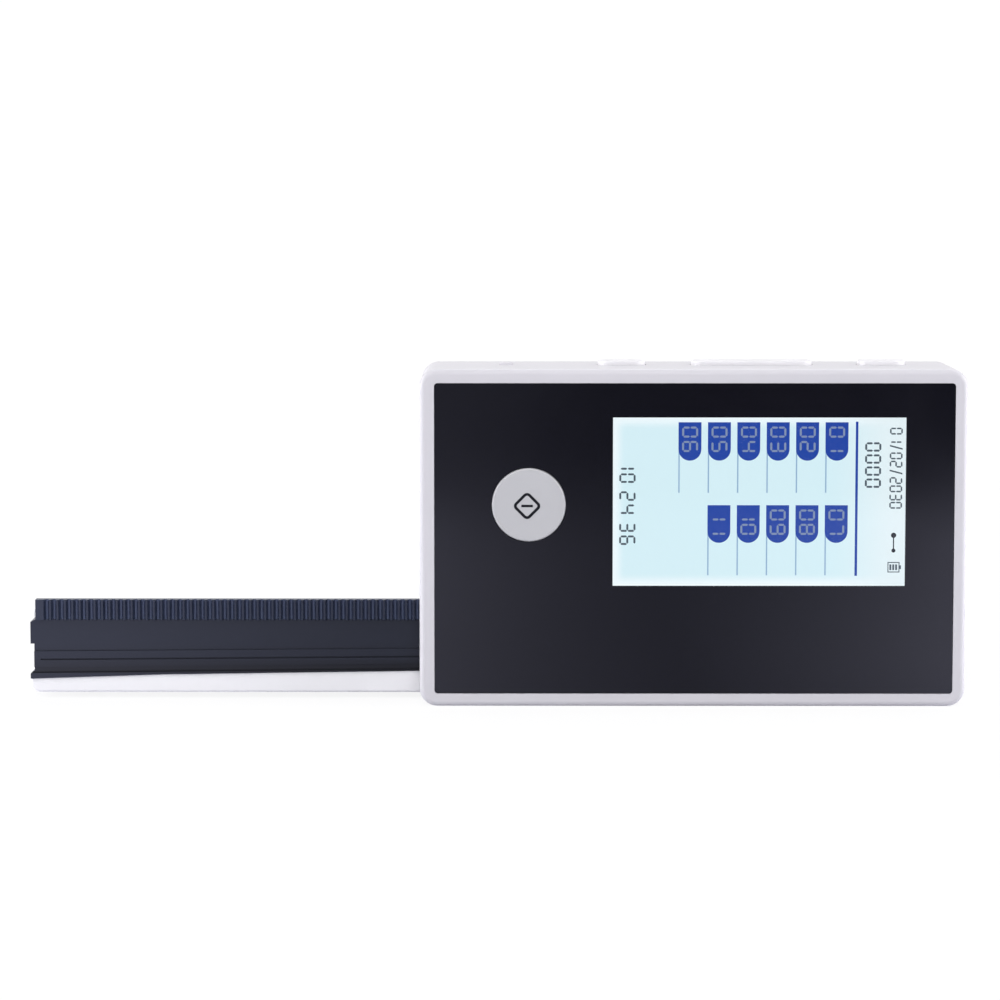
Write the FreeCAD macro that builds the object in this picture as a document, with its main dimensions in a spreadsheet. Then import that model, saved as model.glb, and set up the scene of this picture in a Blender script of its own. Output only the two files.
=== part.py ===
"""Handheld strip reader (urine analyzer) as a parametric assembly.

Frame: X along the housing, Y from the display towards the back, Z up.
Origin: centre of the flat long side that the housing stands on.
At rest the drawer stands fully out of the left end. All sizes are millimetres.
"""
import FreeCAD
import Part
import math
import os
import re

from FreeCAD import Placement, Rotation, Vector

doc = FreeCAD.newDocument("strip_reader")

# ---------------------------------------------------------------- sizes
SIZES = {
    # housing
    "body_length": 114.0, "body_height": 70.7, "body_depth": 29.0,
    "side_wall": 2.2, "back_wall": 2.0, "face_wall": 1.2,
    "seam_depth": 9.0, "corner_radius": 3.7, "edge_rounding": 1.15, "rear_rounding": 2.0,
    "tongue_length": 0.9, "tongue_thickness": 1.0, "tongue_root": 0.6, "tongue_gap": 0.1,
    # how far a cutter overruns, a joined rib sinks in, and a loose piece stays clear
    "overcut": 1.0, "sink": 0.2, "slip": 0.1,
    # black panel and display
    "bezel_left": 3.1, "bezel_right": 2.6, "bezel_top": 2.95, "bezel_bottom": 2.7,
    "recess_depth": 1.0, "panel_thickness": 0.8, "panel_corner": 0.7, "panel_gap": 0.05,
    "view_left": 40.3, "view_right": 12.8, "view_bottom": 25.4, "view_top": 10.1,
    "glass_margin": 2.4, "glass_thickness": 2.2, "glass_gap": 0.15,
    "light_thickness": 2.6, "light_inset": 0.6,
    "holder_wall": 1.0, "holder_gap": 0.1, "holder_frame": 5.0,
    "flex_place": 12.0, "flex_width": 20.0, "flex_height": 8.0, "flex_thickness": 0.3,
    # start button
    "button_left": 22.8, "button_height": 42.4, "button_radius": 7.65, "button_gap": 0.15,
    "button_proud": 0.45, "button_travel": 0.5, "button_cap": 1.6, "button_skirt": 1.0,
    "button_rounding": 0.35, "button_flange": 0.8, "button_flange_width": 0.9,
    "button_post_radius": 1.5, "switch_width": 6.0, "switch_height": 3.4,
    "plunger_radius": 1.6, "plunger_length": 1.0, "plunger_inside": 0.9, "plunger_gap": 0.06,
    "plunger_room": 0.4, "contact_gap": 0.05,
    # keys on the long side
    "key_depth": 15.5, "key_width": 6.4, "key_end_radius": 2.88, "key_proud": 1.0,
    "key_rounding": 0.4, "key_gap": 0.25, "key_flange": 0.8, "key_flange_width": 0.7,
    "key_travel": 0.5, "key_inset": 16.65, "key_pitch": 27.45, "single_key_length": 10.0,
    "rocker_length": 25.5, "rocker_arm": 9.0, "rocker_tilt": 2.0, "relief_start": 0.3,
    "relief_spare": 0.85, "dimple_radius": 8.0, "dimple_depth": 0.4,
    "pip_inset": 18.1, "pip_length": 3.0, "pip_width": 2.4, "pip_height": 0.5,
    "pip_rounding": 0.3,
    "key_board_drop": 9.9, "key_board_thickness": 1.2, "key_board_width": 9.6,
    "key_board_left": 8.8, "key_board_right": 6.6, "key_switch_width": 4.5,
    "key_switch_height": 1.8, "key_plunger_radius": 1.1, "key_plunger_length": 1.4,
    "key_plunger_inside": 0.3, "key_post_radius": 1.1,
    "pin_radius": 0.6, "pin_drop": 4.5, "pin_gap": 0.05, "hub_wall": 0.9, "hub_inset": 1.4,
    "ear_gap": 0.6, "ear_wall": 0.8, "ear_width": 4.0, "ear_head": 1.1,
    "ledge_width": 1.6, "ledge_inset": 2.0, "ledge_height": 2.2, "ledge_bite": 1.2,
    # drawer
    "drawer_hold": 26.0, "drawer_end_room": 5.0, "drawer_bottom": 1.2, "drawer_top": 21.15,
    "drawer_gap": 0.25, "rack_tip_depth": 10.0, "rack_bottom": 16.85, "rack_wall_depth": 12.6,
    "bed_back_depth": 18.4, "bed_back_top": 20.0, "bed_wall": 2.0, "bed_gap": 0.05,
    "base_front_depth": 11.5, "base_back_depth": 21.0, "base_back_top": 19.4,
    "base_wall": 1.6, "base_end_radius": 2.2, "base_edge_radius": 0.6, "base_rib": 1.2,
    "base_pocket_depth": 1.3, "base_pockets": 6,
    "seat_outer": 4.1, "seat_knee": 29.0, "seat_knee_height": 5.05, "seat_inner": 6.2,
    "end_gap": 0.1, "rack_end_step": 1.4, "tab_bottom": 11.6, "tab_slant": 0.6,
    "foot_step": 0.9, "foot_top": 5.95, "foot_slant": 0.7,
    "channel_depth": 11.5, "channel_bottom": 10.0, "ledge_depth": 11.1, "line_rise": 0.85,
    "groove_width": 0.35, "groove_depth": 0.5, "groove_height": 8.3, "groove_start": 2.25,
    "cove_bottom": 5.35, "cove_top": 6.6, "cove_depth": 0.7, "cove_rise": 1.1,
    "tile_length": 4.6, "tile_width": 5.0, "tile_thickness": 0.95, "tile_proud": 0.2,
    "tile_inset": 1.4, "tile_gap": 0.05,
    "flag_length": 2.2, "flag_thickness": 0.8, "flag_height": 4.0, "flag_depth": 1.2,
    "flag_drop": 1.0,
    # drive
    "rack_module": 0.5, "pinion_teeth": 14, "pinion_shift": 0.2, "wheel_module": 0.4,
    "wheel_teeth": 20, "motor_teeth": 12, "backlash": 0.09, "wheel_backlash": 0.07,
    "pinion_left": 19.7, "pinion_drop": 0.2, "pinion_face": 5.0, "wheel_face": 1.4,
    "gear_step": 0.7, "gear_hub_radius": 2.6, "axle_radius": 0.75, "axle_gap": 0.04,
    "gear_end_gap": 0.3, "wheel_room": 0.5, "plate_thickness": 0.8, "plate_front_depth": 3.0,
    "plate_back_depth": 9.5, "plate_reach": 2.4, "bracket_post": 2.0, "bracket_foot": 4.4,
    "bracket_hole_inset": 1.8, "motor_radius": 5.0, "motor_length": 9.6, "motor_rounding": 0.4,
    "motor_shaft_radius": 0.5, "motor_shaft_inside": 3.5, "motor_axis_depth": 7.6,
    "collar_radius": 1.5, "collar_length": 0.6,
    # guides and sensor
    "rail_gap": 0.25, "rail_thickness": 1.4, "rail_flange_depth": 12.4, "front_rail_top": 4.1,
    "front_rail_gap": 0.2, "front_rail_lift": 0.05, "floor_wall": 0.8, "rail_left": 3.6, "rail_right": 1.2,
    "rail_screw_inset": 6.0, "rail_screw_drop": 4.0, "rail_pilot": 0.85, "rail_bite": 0.15,
    "stop_length": 1.6, "stop_play": 0.4, "stop_bottom": 10.0, "stop_height": 3.0,
    "stop_groove": 0.8, "stop_gap": 0.3, "stop_start": 2.0, "stop_wall": 1.0,
    "sensor_front": 2.4, "sensor_back": 1.55, "sensor_base": 1.0, "sensor_top": 0.4,
    "sensor_slot": 0.35, "sensor_gap": 0.3, "sensor_end_gap": 0.05,
    # main board and what it carries
    "board_depth": 8.4, "board_thickness": 1.6, "board_left": 13.0, "board_right": 8.6,
    "board_tab": 4.4, "board_tab_bottom": 31.4, "board_step": 36.0, "board_bottom": 24.2,
    "board_step_bottom": 36.0, "board_top": 11.1, "board_lap": 0.5,
    "board_hole_inset": 3.0, "tab_hole_inset": 2.4,
    "processor_right": 46.4, "processor_down": 17.6, "processor_side": 10.0,
    "processor_tall": 1.4,
    "driver_right": 28.4, "driver_down": 15.6, "driver_side": 5.5, "driver_tall": 1.2,
    "amplifier_right": 60.4, "amplifier_down": 15.6, "amplifier_side": 5.5,
    "amplifier_tall": 1.1,
    "regulator_right": 15.4, "regulator_down": 24.0, "regulator_side": 7.0,
    "regulator_tall": 1.6,
    "charger_right": 18.4, "charger_down": 7.6, "charger_side": 3.5, "charger_tall": 1.6,
    "passive_length": 1.6, "passive_width": 0.9, "passive_tall": 0.6, "passive_count": 5,
    "row_right": 54.4, "row_down": 9.1, "row_step": 4.0,
    "column_right": 56.4, "column_down": 26.6, "column_step": 3.0,
    "buzzer_left": 14.0, "buzzer_down": 8.1, "buzzer_radius": 4.5, "buzzer_tall": 2.6,
    "plug_right": 8.4, "plug_down": 7.6, "plug_length": 6.4, "plug_height": 4.4,
    "plug_tall": 3.2, "plug_wall": 0.8,
    "usb_place": 44.0, "usb_width": 7.6, "usb_height": 2.9, "usb_length": 8.0,
    "usb_wall": 0.3, "usb_floor": 1.2, "usb_rounding": 0.7, "usb_setback": 0.4, "usb_gap": 0.3,
    "usb_tongue_setback": 1.4, "usb_tongue_width": 4.6, "usb_tongue_thickness": 0.6,
    # battery
    "battery_left": 43.0, "battery_right": 11.0, "battery_bottom": 24.6, "battery_top": 12.5,
    "battery_depth": 15.2, "battery_back": 2.6, "battery_rounding": 2.4, "battery_gap": 0.2,
    "tray_rib": 1.2, "tray_inset": 6.0, "tray_lip": 2.0,
    # reading head
    "optics_left": 34.6, "optics_length": 16.0, "optics_bottom": 7.4, "optics_height": 11.4,
    "optics_back_depth": 9.6, "optics_block": 5.0, "optics_board": 1.0, "optics_ear": 3.8,
    "optics_rounding": 0.5, "sensor_sight": 1.6, "lamp_sight": 1.2, "sight_offset": 4.4,
    "sight_gap": 0.2, "sensor_tall": 1.2, "lamp_tall": 1.6,
    # fasteners and trim
    "boss_radius": 2.7, "boss_inset": 5.0, "boss_low": 27.4, "boss_drop": 5.1,
    "boss_gap": 0.1, "pilot_floor": 0.3, "post_radius": 1.9,
    "screw_radius": 1.0, "screw_head_radius": 1.9, "screw_head": 1.3, "screw_length": 12.0,
    "screw_seat": 7.6, "screw_clear": 0.2,
    "small_screw_radius": 0.8, "small_head_radius": 1.5, "small_head": 0.9,
    "board_screw_length": 5.0, "bracket_screw_length": 2.4, "optics_screw_length": 1.9,
    "foot_radius": 4.0, "foot_thickness": 1.2, "foot_proud": 0.6, "foot_rounding": 0.3,
    "foot_side_inset": 11.0, "foot_end_inset": 13.0,
    "label_length": 44.0, "label_height": 22.0, "label_thickness": 0.3,
}

sheet = doc.addObject("Spreadsheet::Sheet", "Sizes")
for row, (alias, number) in enumerate(SIZES.items(), start=1):
    sheet.set(f"A{row}", alias)
    sheet.set(f"B{row}", str(number))
    sheet.setAlias(f"B{row}", alias)
doc.recompute()


def size(alias):
    """A driving dimension, read back from the sheet."""
    return float(sheet.get(alias))


def linked(expression):
    """An expression whose bare words are cells of the sheet."""
    return re.sub(r"\b([a-z][a-z_]+)\b", r"Sizes.\1", str(expression))


# ---------------------------------------------------------------- small modelling helpers
AXES = {
    "x": Rotation(Vector(0, 1, 0), 90),
    "y": Rotation(Vector(1, 0, 0), -90),
    "z": Rotation(),
}
finished = []


def place(item, x, y, z):
    for letter, where in zip("xyz", (x, y, z)):
        item.setExpression(f"Placement.Base.{letter}", linked(where))
    return item


def box(x, y, z, length, width, height):
    """A block from its low corner and its size along X, Y and Z."""
    item = doc.addObject("Part::Box", "Block")
    item.setExpression("Length", linked(length))
    item.setExpression("Width", linked(width))
    item.setExpression("Height", linked(height))
    return place(item, x, y, z)


def span(x0, x1, y0, y1, z0, z1):
    """A block between two limits along each axis."""
    return box(x0, y0, z0, f"({x1})-({x0})", f"({y1})-({y0})", f"({z1})-({z0})")


def rod(axis, x, y, z, radius, length):
    """A cylinder along one axis, from the centre of its low end."""
    item = doc.addObject("Part::Cylinder", "Rod")
    item.Placement = Placement(Vector(), AXES[axis])
    item.setExpression("Radius", linked(radius))
    item.setExpression("Height", linked(length))
    return place(item, x, y, z)


def join(*items):
    """All items as one; those that don't touch stay separate solids."""
    if len(items) == 1:
        return items[0]
    item = doc.addObject("Part::MultiFuse", "Join")
    item.Shapes = list(items)
    return item


def cut(base, *tools):
    """The base without all the tools."""
    item = doc.addObject("Part::Cut", "Cut")
    item.Base = base
    item.Tool = join(*tools)
    return item


def rounded(base, radius, chosen, kind="Part::Fillet"):
    """Fillet or chamfer the edges for which chosen(edge) holds."""
    doc.recompute([base])
    picks = [(n, radius, radius) for n, edge in enumerate(base.Shape.Edges, start=1) if chosen(edge)]
    item = doc.addObject(kind, "Rounded")
    item.Base = base
    item.Edges = picks
    return item


def runs_along(edge, axis):
    low, high = edge.Vertexes[0].Point, edge.Vertexes[-1].Point
    delta = high - low
    return delta.Length > 1e-6 and abs(getattr(delta.normalize(), axis)) > 0.999


def at_level(edge, axis, level):
    return all(abs(getattr(v.Point, axis) - level) < 1e-4 for v in edge.Vertexes)


def name(item, label):
    """Give a finished sub-part its name."""
    item.Label = label
    finished.append(item)
    return item


def prism(axis, points, low, length):
    """A polygon pushed along one axis; points are the other two coordinates in X, Y, Z order."""
    corners = {
        "x": lambda a, b: Vector(low, a, b),
        "y": lambda a, b: Vector(a, low, b),
        "z": lambda a, b: Vector(a, b, low),
    }[axis]
    push = {"x": Vector(length, 0, 0), "y": Vector(0, length, 0), "z": Vector(0, 0, length)}[axis]
    wire = Part.makePolygon([corners(a, b) for a, b in points + points[:1]])
    item = doc.addObject("Part::Feature", "Prism")
    item.Shape = Part.Face(wire).extrude(push)
    return item


# ---------------------------------------------------------------- shared places
LEFT = "(-body_length/2)"
RIGHT = "(body_length/2)"
FACE = "(-body_depth/2)"
BACK = "(body_depth/2)"
SEAM = f"({FACE}+seam_depth)"
INNER_FACE = f"({FACE}+recess_depth+face_wall)"
INNER_BACK = f"({BACK}-back_wall)"
INNER_TOP = "(body_height-side_wall)"


def depth(measure):
    """Y of a point that lies so far behind the front plane."""
    return f"({FACE}+{measure})"


def rounded_block(x0, x1, y0, y1, z0, z1, radius):
    """A block whose four edges along Y are rounded."""
    return rounded(span(x0, x1, y0, y1, z0, z1), radius, lambda e: runs_along(e, "y"))


# the drawer rests fully out; closed, its outer end is flush with the housing's left end
TRAVEL = "(body_length-drawer_end_room-drawer_hold)"
outer = f"({LEFT}-{TRAVEL})"
inner = f"({RIGHT}-drawer_end_room-{TRAVEL})"

# the same places as numbers, for outlines that are drawn point by point
left_x = -size("body_length") / 2
front_y = -size("body_depth") / 2
back_y = size("body_depth") / 2
travel = size("body_length") - size("drawer_end_room") - size("drawer_hold")
outer_x = left_x - travel
inner_x = -left_x - size("drawer_end_room") - travel
over = size("overcut")

# ---------------------------------------------------------------- drive layout
module = size("rack_module")
pitch = math.pi * module
pressure = math.radians(20)
pinion_depth = (size("rack_tip_depth") + module
                - module * (size("pinion_teeth") / 2 + size("pinion_shift")))
pinion_low = size("rack_bottom") - size("pinion_drop")
wheel_low = pinion_low + size("pinion_face") + size("gear_step")
gear_top = wheel_low + size("wheel_face")
pinion_x = left_x + size("pinion_left")
pinion_y = front_y + pinion_depth
motor_drop = size("motor_axis_depth") - pinion_depth
centre_distance = size("wheel_module") * (size("wheel_teeth") + size("motor_teeth")) / 2
motor_reach = math.sqrt(centre_distance ** 2 - motor_drop ** 2)
mesh_angle = math.degrees(math.atan2(motor_drop, -motor_reach))
motor_x = pinion_x - motor_reach
motor_y = front_y + size("motor_axis_depth")
plate_low = gear_top + size("gear_end_gap")
plate_top = plate_low + size("plate_thickness")
lower_top = pinion_low - size("gear_end_gap")
lower_low = lower_top - size("plate_thickness")
wheel_radius = size("wheel_module") * (size("wheel_teeth") / 2 + 1)
web_x = pinion_x + wheel_radius + size("wheel_room")
web_end = web_x + size("plate_thickness")

# ---------------------------------------------------------------- places of the screws
bay_top = "(drawer_top+drawer_gap)"
board_front = depth("board_depth")
board_back = f"({board_front}+board_thickness)"
board_x0, board_x1 = f"({LEFT}+board_left)", f"({RIGHT}-board_right)"
tab_x1 = f"({RIGHT}-board_tab)"
step_x = f"({LEFT}+board_step)"
board_z1 = "(body_height-board_top)"
optics_x0 = f"({LEFT}+optics_left)"
optics_x1 = f"({optics_x0}+optics_length)"
optics_middle = f"({optics_x0}+optics_length/2)"
optics_board_front = f"({depth('optics_back_depth')}-optics_block-optics_board)"
rail_x0 = f"({LEFT}+rail_left)"
rail_x1 = f"({RIGHT}-side_wall-rail_right)"
rail_web = f"({depth('base_back_depth')}+rail_gap)"
rail_back = f"({rail_web}+rail_thickness)"

BOSSES = [(x, z) for x in (f"{LEFT}+boss_inset", f"{RIGHT}-boss_inset")
          for z in ("boss_low", "body_height-boss_drop")]
BOARD_POSTS = [(f"{board_x0}+board_hole_inset", f"{board_z1}-board_hole_inset"),
               (f"{tab_x1}-tab_hole_inset", f"{board_z1}-board_hole_inset"),
               (f"{tab_x1}-tab_hole_inset", "board_tab_bottom+board_hole_inset"),
               (f"{step_x}-tab_hole_inset", "board_step_bottom+board_hole_inset")]
OPTICS_SCREWS = [(x, "optics_bottom+optics_height/2")
                 for x in (f"{optics_x0}-optics_ear/2", f"{optics_x1}+optics_ear/2")]
bracket_hole_x = (web_end + web_end + size("bracket_foot")) / 2
BRACKET_SCREWS = [(f"{bracket_hole_x}", f"{lower_low}+bracket_hole_inset"),
                  (f"{bracket_hole_x}", f"{plate_top}-bracket_hole_inset")]
RAIL_SCREWS = [(x, f"{bay_top}-rail_screw_drop")
               for x in (f"{rail_x0}+rail_screw_inset", f"{rail_x1}-rail_screw_inset")]

# ---------------------------------------------------------------- front shell
panel_x0, panel_x1 = f"({LEFT}+bezel_left)", f"({RIGHT}-bezel_right)"
panel_z0, panel_z1 = "bezel_bottom", "(body_height-bezel_top)"
view_x0, view_x1 = f"({LEFT}+view_left)", f"({RIGHT}-view_right)"
view_z0, view_z1 = "view_bottom", "(body_height-view_top)"
glass_x0, glass_x1 = f"({view_x0}-glass_margin)", f"({view_x1}+glass_margin)"
glass_z0, glass_z1 = f"({view_z0}-glass_margin)", f"({view_z1}+glass_margin)"
glass_front = f"({FACE}+recess_depth+glass_gap)"
button_x = f"({LEFT}+button_left)"
inner_radius = size("corner_radius") - size("side_wall")

blank = rounded_block(LEFT, RIGHT, FACE, SEAM, 0, "body_height", size("corner_radius"))
blank = rounded(blank, size("edge_rounding"), lambda e: at_level(e, "y", front_y))
cavity = rounded_block(f"{LEFT}+side_wall", f"{RIGHT}-side_wall", INNER_FACE, SEAM,
                       "side_wall", INNER_TOP, inner_radius)
recess = rounded_block(panel_x0, panel_x1, FACE, f"{FACE}+recess_depth", panel_z0, panel_z1,
                       size("panel_corner"))
window = span(f"{glass_x0}-panel_gap", f"{glass_x1}+panel_gap", FACE, INNER_FACE,
              f"{glass_z0}-panel_gap", f"{glass_z1}+panel_gap")
button_hole = rod("y", button_x, FACE, "button_height", "button_radius+button_gap", "seam_depth")
shell = cut(blank, cavity, recess, window, button_hole)

columns, pilots = [], []
for spots, radius, end, pilot in (
        (BOSSES, "boss_radius", SEAM, "screw_radius"),
        (BOARD_POSTS, "post_radius", board_front, "small_screw_radius"),
        (OPTICS_SCREWS, "post_radius", optics_board_front, "small_screw_radius"),
        (BRACKET_SCREWS, "post_radius", f"({INNER_FACE}+bracket_post)", "small_screw_radius")):
    for x, z in spots:
        columns.append(rod("y", x, INNER_FACE, z, radius, f"{end}-{INNER_FACE}"))
        pilots.append(rod("y", x, f"{INNER_FACE}+pilot_floor", z, pilot, "seam_depth"))

skin = "(side_wall-tongue_thickness)"
tongue = cut(
    rounded_block(f"{LEFT}+{skin}", f"{RIGHT}-{skin}", f"{SEAM}-tongue_root",
                  f"{SEAM}+tongue_length", skin, f"body_height-{skin}",
                  inner_radius + size("tongue_thickness")),
    rounded_block(f"{LEFT}+side_wall", f"{RIGHT}-side_wall", f"{SEAM}-overcut",
                  f"{SEAM}+tongue_length+overcut", "side_wall", INNER_TOP, inner_radius),
    span(f"{LEFT}-overcut", f"{LEFT}+side_wall+overcut", SEAM, f"{SEAM}+tongue_length+overcut",
         0, f"{bay_top}+overcut"),
    span(f"{RIGHT}-side_wall-overcut", f"{RIGHT}+overcut", SEAM, f"{SEAM}+tongue_length+overcut",
         "usb_place-usb_width", "usb_place+usb_width"))
name(cut(join(shell, tongue, *columns), *pilots), "front_shell")

# ---------------------------------------------------------------- back shell
bay_back = f"({depth('base_back_depth')}+drawer_gap)"
key_y = depth("key_depth")
key_board_z0 = "(body_height-key_board_drop)"
key_board_z1 = f"({key_board_z0}+key_board_thickness)"
right_key_x = f"({RIGHT}-key_inset)"
rocker_x = f"({right_key_x}-key_pitch)"
left_key_x = f"({rocker_x}-key_pitch)"
key_board_x0, key_board_x1 = f"({left_key_x}-key_board_left)", f"({right_key_x}+key_board_right)"
battery_x0, battery_x1 = f"({LEFT}+battery_left)", f"({RIGHT}-battery_right)"
battery_z0, battery_z1 = "battery_bottom", "(body_height-battery_top)"
battery_y0, battery_y1 = depth("battery_depth"), f"({INNER_BACK}-battery_back)"
usb_y = f"({board_back}+usb_height/2)"
KEYS = {"left_key": (left_key_x, "single_key_length"),
        "rocker_key": (rocker_x, "rocker_length"),
        "right_key": (right_key_x, "single_key_length")}
FEET = [(x, z) for x in (f"{LEFT}+foot_side_inset", f"{RIGHT}-foot_side_inset")
        for z in ("foot_end_inset", "body_height-foot_end_inset")]
foot_front = f"({BACK}-foot_thickness+foot_proud)"


def key_block(x, length, growth, low, high):
    """A key's outline with round ends, wider all round by growth."""
    block = span(f"{x}-{length}/2-({growth})", f"{x}+{length}/2+({growth})",
                 f"{key_y}-key_width/2-({growth})", f"{key_y}+key_width/2+({growth})", low, high)
    return rounded(block, size("key_end_radius"), lambda e: runs_along(e, "z"))


blank = rounded_block(LEFT, RIGHT, SEAM, BACK, 0, "body_height", size("corner_radius"))
blank = rounded(blank, size("rear_rounding"), lambda e: at_level(e, "y", back_y))
cavity = rounded_block(f"{LEFT}+side_wall", f"{RIGHT}-side_wall", SEAM, INNER_BACK,
                       "side_wall", INNER_TOP, inner_radius)
rebate = rounded_block(f"{LEFT}+{skin}-tongue_gap", f"{RIGHT}-{skin}+tongue_gap", SEAM,
                       f"{SEAM}+tongue_length+tongue_gap", f"{skin}-tongue_gap",
                       f"body_height-{skin}+tongue_gap", inner_radius + size("tongue_thickness"))
pip_x = f"({LEFT}+pip_inset)"
pip_level = size("body_height") + size("pip_height")
pip = rounded(span(f"{pip_x}-pip_length/2", f"{pip_x}+pip_length/2", f"{key_y}-pip_width/2",
                   f"{key_y}+pip_width/2", "body_height-sink", "body_height+pip_height"),
              size("pip_rounding"), lambda e: at_level(e, "z", pip_level))
ribs = [pip]
for x, z in BOSSES:
    ribs.append(rod("y", x, f"{SEAM}+boss_gap", z, "boss_radius", f"{INNER_BACK}+sink-{SEAM}-boss_gap"))
for x, z in RAIL_SCREWS:
    ribs.append(rod("y", x, rail_back, z, "post_radius", f"{INNER_BACK}+sink-{rail_back}"))
for x in (f"({battery_x0}+tray_inset)", f"(({battery_x0}+{battery_x1}-tray_rib)/2)",
          f"({battery_x1}-tray_inset-tray_rib)"):
    ribs.append(span(x, f"{x}+tray_rib", battery_y1, f"{INNER_BACK}+sink", battery_z0, battery_z1))
ribs.append(span(battery_x0, battery_x1, f"{battery_y0}+tray_lip", f"{INNER_BACK}+sink",
                 f"{battery_z0}-battery_gap-tray_rib", f"{battery_z0}-battery_gap"))
for x in (f"({key_board_x0}+ledge_inset)", f"({key_board_x1}-ledge_inset-ledge_width)"):
    ribs.append(span(x, f"{x}+ledge_width", f"{key_y}+key_board_width/2-ledge_bite",
                     f"{INNER_BACK}+sink", f"{key_board_z0}-ledge_height", key_board_z0))

holes = [
    span(f"{LEFT}-overcut", f"{LEFT}+side_wall+overcut", f"{depth('rack_tip_depth')}-drawer_gap",
         bay_back, "floor_wall", bay_top),
    span(f"{LEFT}-overcut", f"{RIGHT}-drawer_end_room+drawer_gap",
         f"{depth('base_front_depth')}-drawer_gap", bay_back, "floor_wall", "side_wall+slip"),
    span(f"{RIGHT}-side_wall-overcut", f"{RIGHT}+overcut", f"{usb_y}-usb_height/2-usb_gap",
         f"{usb_y}+usb_height/2+usb_gap", "usb_place-usb_width/2-usb_gap",
         "usb_place+usb_width/2+usb_gap"),
    span("-label_length/2", "label_length/2", f"{BACK}-label_thickness", f"{BACK}+overcut",
         "body_height/2-label_height/2", "body_height/2+label_height/2"),
]
for x, length in KEYS.values():
    holes.append(key_block(x, length, "key_gap", f"{INNER_TOP}-overcut", "body_height+overcut"))
for x, z in BOSSES:
    holes.append(rod("y", x, SEAM, z, "screw_radius+screw_clear", f"{BACK}-{SEAM}"))
    holes.append(rod("y", x, f"{SEAM}+screw_seat", z, "screw_head_radius+screw_clear", "body_depth"))
for x, z in RAIL_SCREWS:
    holes.append(rod("y", x, f"{rail_back}-overcut", z, "small_screw_radius",
                     f"{INNER_BACK}+rail_pilot+overcut-{rail_back}"))
for x, z in FEET:
    holes.append(rod("y", x, foot_front, z, "foot_radius+slip", "foot_thickness+overcut"))
name(cut(join(cut(blank, cavity, rebate), *ribs), *holes), "back_shell")

# ---------------------------------------------------------------- panel and display
panel_back = f"({FACE}+recess_depth)"
panel_front = f"({panel_back}-panel_thickness)"
light_front = f"({glass_front}+glass_thickness)"
light_back = f"({light_front}+light_thickness)"
panel = rounded_block(f"{panel_x0}+panel_gap", f"{panel_x1}-panel_gap", panel_front, panel_back,
                      f"{panel_z0}+panel_gap", f"{panel_z1}-panel_gap", size("panel_corner"))
name(cut(panel, span(view_x0, view_x1, f"{panel_front}-overcut", f"{panel_back}+overcut",
                     view_z0, view_z1),
         rod("y", button_x, f"{panel_front}-overcut", "button_height", "button_radius+button_gap",
             "panel_thickness+2*overcut")), "overlay_panel")
name(span(f"{view_x0}+panel_gap", f"{view_x1}-panel_gap", panel_front, panel_back,
          f"{view_z0}+panel_gap", f"{view_z1}-panel_gap"), "display_window")
name(span(glass_x0, glass_x1, glass_front, light_front, glass_z0, glass_z1), "lcd_glass")
name(span(f"{glass_x0}+light_inset", f"{glass_x1}-light_inset", light_front, light_back,
          f"{glass_z0}+light_inset", f"{glass_z1}-light_inset"), "backlight")
grow = "(holder_gap+holder_wall)"
name(cut(
    span(f"{glass_x0}-{grow}", f"{glass_x1}+{grow}", INNER_FACE, f"{light_back}+holder_wall",
         f"{glass_z0}-{grow}", f"{glass_z1}+{grow}"),
    span(f"{glass_x0}-holder_gap", f"{glass_x1}+holder_gap", f"{INNER_FACE}-overcut", light_back,
         f"{glass_z0}-holder_gap", f"{glass_z1}+holder_gap"),
    span(f"{glass_x0}+holder_frame", f"{glass_x1}-holder_frame", INNER_FACE,
         f"{light_back}+holder_wall+overcut", f"{glass_z0}+holder_frame",
         f"{glass_z1}-holder_frame")), "lcd_holder")
name(span(f"{glass_x0}+flex_place", f"{glass_x0}+flex_place+flex_width", light_back, board_front,
          f"{glass_z0}+flex_height", f"{glass_z0}+flex_height+flex_thickness"), "lcd_flex")

# ---------------------------------------------------------------- start button
button_front = f"({FACE}-button_proud)"
button_level = front_y - size("button_proud")
flange_front = f"({INNER_FACE}+contact_gap)"
switch_front = f"({board_front}-switch_height)"
plunger_front = f"({switch_front}-plunger_length)"
cap_end = f"({button_front}+button_cap)"
cap = rod("y", button_x, button_front, "button_height", "button_radius",
          f"{flange_front}+button_flange-{button_front}")
cap = rounded(cap, size("button_rounding"), lambda e: at_level(e, "y", button_level))
skirt = rod("y", button_x, flange_front, "button_height", "button_radius+button_flange_width",
            "button_flange")
hollow = rod("y", button_x, cap_end, "button_height", "button_radius-button_skirt", "seam_depth")
post = rod("y", button_x, f"{cap_end}-sink", "button_height", "button_post_radius",
           f"{plunger_front}-{cap_end}+sink")
name(join(cut(join(cap, skirt), hollow), post), "start_button")
name(cut(span(f"{button_x}-switch_width/2", f"{button_x}+switch_width/2", switch_front, board_front,
              "button_height-switch_width/2", "button_height+switch_width/2"),
         rod("y", button_x, f"{switch_front}-overcut", "button_height", "plunger_radius+plunger_gap",
             "overcut+plunger_inside+button_travel+plunger_room")), "start_switch")
name(rod("y", button_x, plunger_front, "button_height", "plunger_radius",
         "plunger_length+plunger_inside"), "start_plunger")

# ---------------------------------------------------------------- keys on the long side
flange_top = f"({INNER_TOP}-contact_gap)"
flange_low = f"({flange_top}-key_flange)"
key_plunger_z0 = f"({key_board_z1}+key_switch_height)"
key_plunger_z1 = f"({key_plunger_z0}+key_plunger_length)"
key_top = "(body_height+key_proud)"
key_level = size("body_height") + size("key_proud")


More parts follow.
